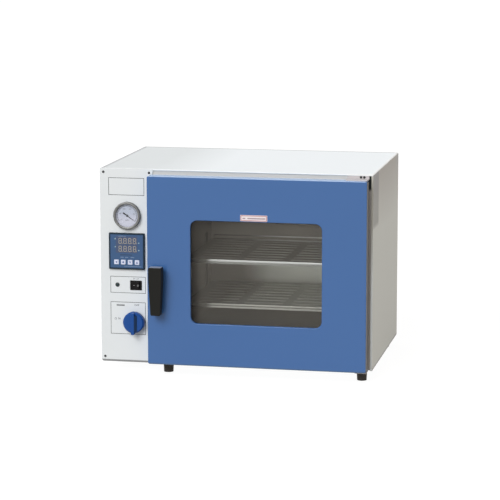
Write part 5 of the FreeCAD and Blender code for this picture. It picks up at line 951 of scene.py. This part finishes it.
def addDigit(shape, x, z, back, front):
    wide, tall = controller["digitWide"], controller["digitTall"]
    half, gap = controller["stroke"] / 2, controller["gap"]
    for x0, z0, x1, z1 in segments.values():
        ax, bx = (x + (share - 0.5) * (wide - 2 * half) for share in (x0, x1))
        az, bz = (z + (share - 0.5) * (tall - 2 * half) for share in (z0, z1))
        if z0 == z1:
            bar = [(ax + gap, az), (ax + gap + half, az - half), (bx - gap - half, az - half),
                   (bx - gap, az), (bx - gap - half, az + half), (ax + gap + half, az + half)]
        else:
            bar = [(ax, az + gap), (ax + half, az + gap + half), (ax + half, bz - gap - half),
                   (ax, bz - gap), (ax - half, bz - gap - half), (ax - half, az + gap + half)]
        addPrism(shape, bar, back, front)
    point = controller["point"]
    dot = disc(x + wide / 2 + controller["pointAside"], z - tall / 2 + point, point, controller["pointSides"])
    addPrism(shape, dot, back, front)


def onFace(node):                                           # back and front of print on the controller
    face = limits(node)[0].y
    return face + controller["sunk"], face - controller["stands"]


def makeDisplay():
    x, z = middle("controller_fascia")
    shape = bmesh.new()
    for row in controller["rows"]:
        for k in range(controller["digits"]):
            aside = controller["column"] + (k - (controller["digits"] - 1) / 2) * controller["pitch"]
            addDigit(shape, x + aside, z + row, *onFace("display_window"))
    layPrint("displayDigits", shape, ["segmentAmber"], "display_window")
    depth = onFace("controller_fascia")
    shape = bmesh.new()
    for aside, up in controller["lamps"]:
        addPrism(shape, disc(x + aside, z + up, controller["lamp"], controller["lampSides"]), *depth)
    for x0, x1, up, tall, index in controller["fine"]:
        addFinePrint(shape, x + x0, x + x1, z + up, tall, *depth, index)
    layPrint("fasciaPrint", shape, ["lampPale", "fasciaInk", "fasciaPale"], "controller_fascia")


def makeKeys():
    half = controller["keyMark"]
    for k, mark in enumerate(keyMarks, 1):
        node = "key_%d" % k
        refined(node, "keyCap%d" % k, ["keyPale"], bevel=0.8)
        x, z = middle(node)
        face = limits(node)[0].y
        outline = [(x + half * across, z + half * up) for across, up in mark]
        shape = bmesh.new()
        addPrism(shape, outline, face + controller["keySunk"], face - controller["stands"])
        layPrint("keyMark%d" % k, shape, ["keyInk"], node)


refined("controller_bezel", "controllerBezel", ["bezelNavy"], bevel=0.4)
dress("socketBlack", "controller_case")
dress("fasciaBlue", "controller_fascia")
dress("displayTint", "display_window")
dress("boardGreen", "controller_board")
makeDisplay()
makeKeys()
print("controller made")


# the pilot lamp and the mains switch

lamp = {
    "lens": 4.3, "lensEdge": 1.2, "domeSteps": 6,
    "ring": 6.1, "ringStands": 1.3, "ringSlope": 0.8,
    "barrel": 4.0, "barrelDeep": 18.0, "sides": 48,
}
rockerMark = {                                              # a short line, and a ring beside it
    "from": 7.3, "long": 4.2, "tall": 1.0, "lengths": 8,
    "ringAt": 6.0, "outer": 2.2, "inner": 1.3, "corners": 24,
}


def makeLamp():
    x, z = middle("pilot_lamp")
    lens, ring, barrel = lamp["lens"], lamp["ring"], lamp["barrel"]
    face, edge = panelFront - lamp["ringStands"], panelFront - lamp["lensEdge"]
    tip, back = limits("pilot_lamp")[0].y, panelFront + lamp["barrelDeep"]
    shape = bmesh.new()
    slope = [(panelFront, lens), (panelFront, ring), (face, ring - lamp["ringSlope"]), (face, lens)]
    addLathe(shape, x, z, slope, 1, lamp["sides"])
    dome = [(panelFront, 0), (panelFront, lens), (edge, lens)]
    for k in range(1, lamp["domeSteps"]):
        a = math.pi / 2 * k / lamp["domeSteps"]
        dome.append((edge + (tip - edge) * math.sin(a), lens * math.cos(a)))
    addLathe(shape, x, z, dome + [(tip, 0)], 0, lamp["sides"])
    addLathe(shape, x, z, [(back, 0), (back, barrel), (panelFront, barrel), (panelFront, 0)], 1, 32)
    fromShape("pilotLamp", shape, ["lampGreen", "lampRing"], "pilot_lamp", ("pilot_lamp",))


def makeSwitchMarks():
    x, z = middle("switch_body")
    left, half, count = x - rockerMark["from"], rockerMark["tall"] / 2, rockerMark["corners"]
    shape = bmesh.new()
    addPatch(shape, left, left + rockerMark["long"], z - half, z + half, rockerMark["lengths"], 1)
    outer, inner = (disc(x + rockerMark["ringAt"], z, rockerMark[key], count) for key in ("outer", "inner"))
    for k in range(count):
        j = (k + 1) % count
        addPrism(shape, [outer[k], outer[j], inner[j], inner[k]], flatPrint["thick"], 0)
    lieOn(shape, "switch_rocker")
    layPrint("rockerMarks", shape, ["switchMark"], "switch_rocker")


makeLamp()
refined("switch_body", "switchBody", ["switchBlack"], bevel=0.3)
refined("switch_rocker", "switchRocker", ["switchBlack"], bevel=0.3)
makeSwitchMarks()
print("switch row made")


# the valve

knob = {"line": 6.4, "aside": 7.4, "reach": 21.0, "lengths": 14}


# a dark strip on the knob's disc beside its grip: a painted shadow where the grip's shade falls
def makeKnobGripShadow():
    x, z = middle("valve_knob")
    x, half, reach = x + knob["aside"], knob["line"] / 2, knob["reach"]
    shape = bmesh.new()
    addPatch(shape, x - half, x + half, z - reach, z + reach, 1, knob["lengths"])
    lieOn(shape, "valve_knob")
    layPrint("knobGripShadow", shape, ["knobGripShadow"], "valve_knob")


refined("valve_knob", "valveKnob", ["knobBlue"], bevel=0.5)
makeKnobGripShadow()
dress("brassBar", "valve_body", "valve_nut")
dress("copperTube", "vacuum_pipes", "gauge_pipe")
print("valve made")


# the back and the feet

refined("vacuum_nozzle", "vacuumNozzle", ["turnedSteel"])
refined("power_inlet", "mainsInlet", ["socketBlack"], bevel=0.2)
refined("fuse_holder", "fuseHolder", ["socketBlack"], bevel=0.2)
dress("socketBlack", "power_relay")
refined("feet", "rubberFeet", ["rubberBlack"], bevel=0.3)
dress("screwBright", "foot_screws")
print("back and feet made")


# floor, light and camera

stage = {
    "floorSize": 60.0, "floorRough": 0.8,
    "floorSeen": (0.93, 0.93, 0.93), "floorFelt": (0.46, 0.43, 0.39), "floorGlow": 0.85, "glowStrength": 1.1,
    "skyLeft": (0.54, 0.55, 0.57), "skyRight": (0.40, 0.365, 0.31), "skyFrom": -0.2, "skyTo": 0.6,
    "keyStrength": 2.3, "keyAngle": 36.0, "keyFrom": (-0.30, -0.85, 0.62), "keyFar": 4.0,
}


def seenDirectly(tree):                                     # 1 for what is seen, mirrored or through glass
    ray = tree.nodes.new("ShaderNodeLightPath").outputs
    seen = addMath(tree, "MAXIMUM", ray["Is Camera Ray"], ray["Is Glossy Ray"])
    return addMath(tree, "MAXIMUM", seen, ray["Is Transmission Ray"])


def addSurface(tree, output, share, first, second):         # two shaders mixed into the tree's output
    mix = tree.nodes.new("ShaderNodeMixShader")
    for k, source in enumerate((share, first.outputs[0], second.outputs[0])):
        tree.links.new(source, mix.inputs[k])
    tree.links.new(mix.outputs[0], tree.nodes[output].inputs["Surface"])


def makeFloor():
    bpy.ops.mesh.primitive_plane_add(size=stage["floorSize"], location=(0, 0, 0))
    floor = bpy.context.object
    floor.name = "studioFloor"
    tree, shader = newMaterial("studioFloor", stage["floorSeen"], stage["floorRough"], gloss=0.0)
    colour = addMix(tree, seenDirectly(tree), (*stage["floorFelt"], 1), (*stage["floorSeen"], 1))
    tree.links.new(colour, shader.inputs["Base Color"])
    glow = addNode(tree, "ShaderNodeEmission", Strength=stage["glowStrength"])
    share = addMath(tree, "MULTIPLY", seenDirectly(tree), stage["floorGlow"])
    addSurface(tree, "Material Output", share, shader, glow)        # the floor stays white in the shadow
    floor.data.materials.append(finish["studioFloor"])


def makeSky():
    world = bpy.data.worlds.new("studioSky")
    world.use_nodes = True
    scene.world = world
    tree = world.node_tree
    place = tree.nodes.new("ShaderNodeTexCoord")
    along = addNode(tree, "ShaderNodeSeparateXYZ", Vector=place.outputs["Generated"]).outputs[0]
    start, end = stage["skyFrom"], stage["skyTo"]
    fit = addNode(tree, "ShaderNodeMapRange", Value=along, From_Min=start, From_Max=end)
    colour = addMix(tree, fit.outputs["Result"], (*stage["skyLeft"], 1), (*stage["skyRight"], 1))
    plain = tree.nodes["Background"]
    tree.links.new(colour, plain.inputs["Color"])
    white = addNode(tree, "ShaderNodeBackground", Color=(1, 1, 1, 1))
    addSurface(tree, "World Output", seenDirectly(tree), plain, white)


def makeLight():
    light = bpy.data.lights.new("keyLight", "SUN")
    light.energy = stage["keyStrength"]
    light.angle = math.radians(stage["keyAngle"])
    sun = bpy.data.objects.new("keyLight", light)
    scene.collection.objects.link(sun)
    toward = Vector(stage["keyFrom"]).normalized()
    sun.rotation_euler = toward.to_track_quat("Z", "Y").to_euler()
    sun.location = toward * stage["keyFar"]


camera = {                                                  # metres, degrees, and pixels of the photo
    "place": (1.1427, -5.6264, 1.2732),
    "down": 9.01, "left": 11.42, "roll": 0.02,
    "focal": 2165.4, "centre": (254.1, 226.3), "frame": 500,
    "sensor": 36.0, "far": 200.0,
}


def makeCamera():
    across, up = camera["centre"]
    size = camera["frame"]
    data = bpy.data.cameras.new("photoCamera")
    data.sensor_width = camera["sensor"]
    data.lens = camera["sensor"] * camera["focal"] / size
    data.shift_x = (size / 2 - across) / size
    data.shift_y = (up - size / 2) / size
    data.clip_end = camera["far"]
    eye = bpy.data.objects.new("photoCamera", data)
    scene.collection.objects.link(eye)
    eye.location = camera["place"]
    eye.rotation_euler = (math.radians(90 - camera["down"]), math.radians(camera["roll"]),
                          math.radians(camera["left"]))
    scene.camera = eye


makeFloor()
makeSky()
makeLight()
makeCamera()
scene.view_settings.view_transform = "Standard"
print("studio ready")
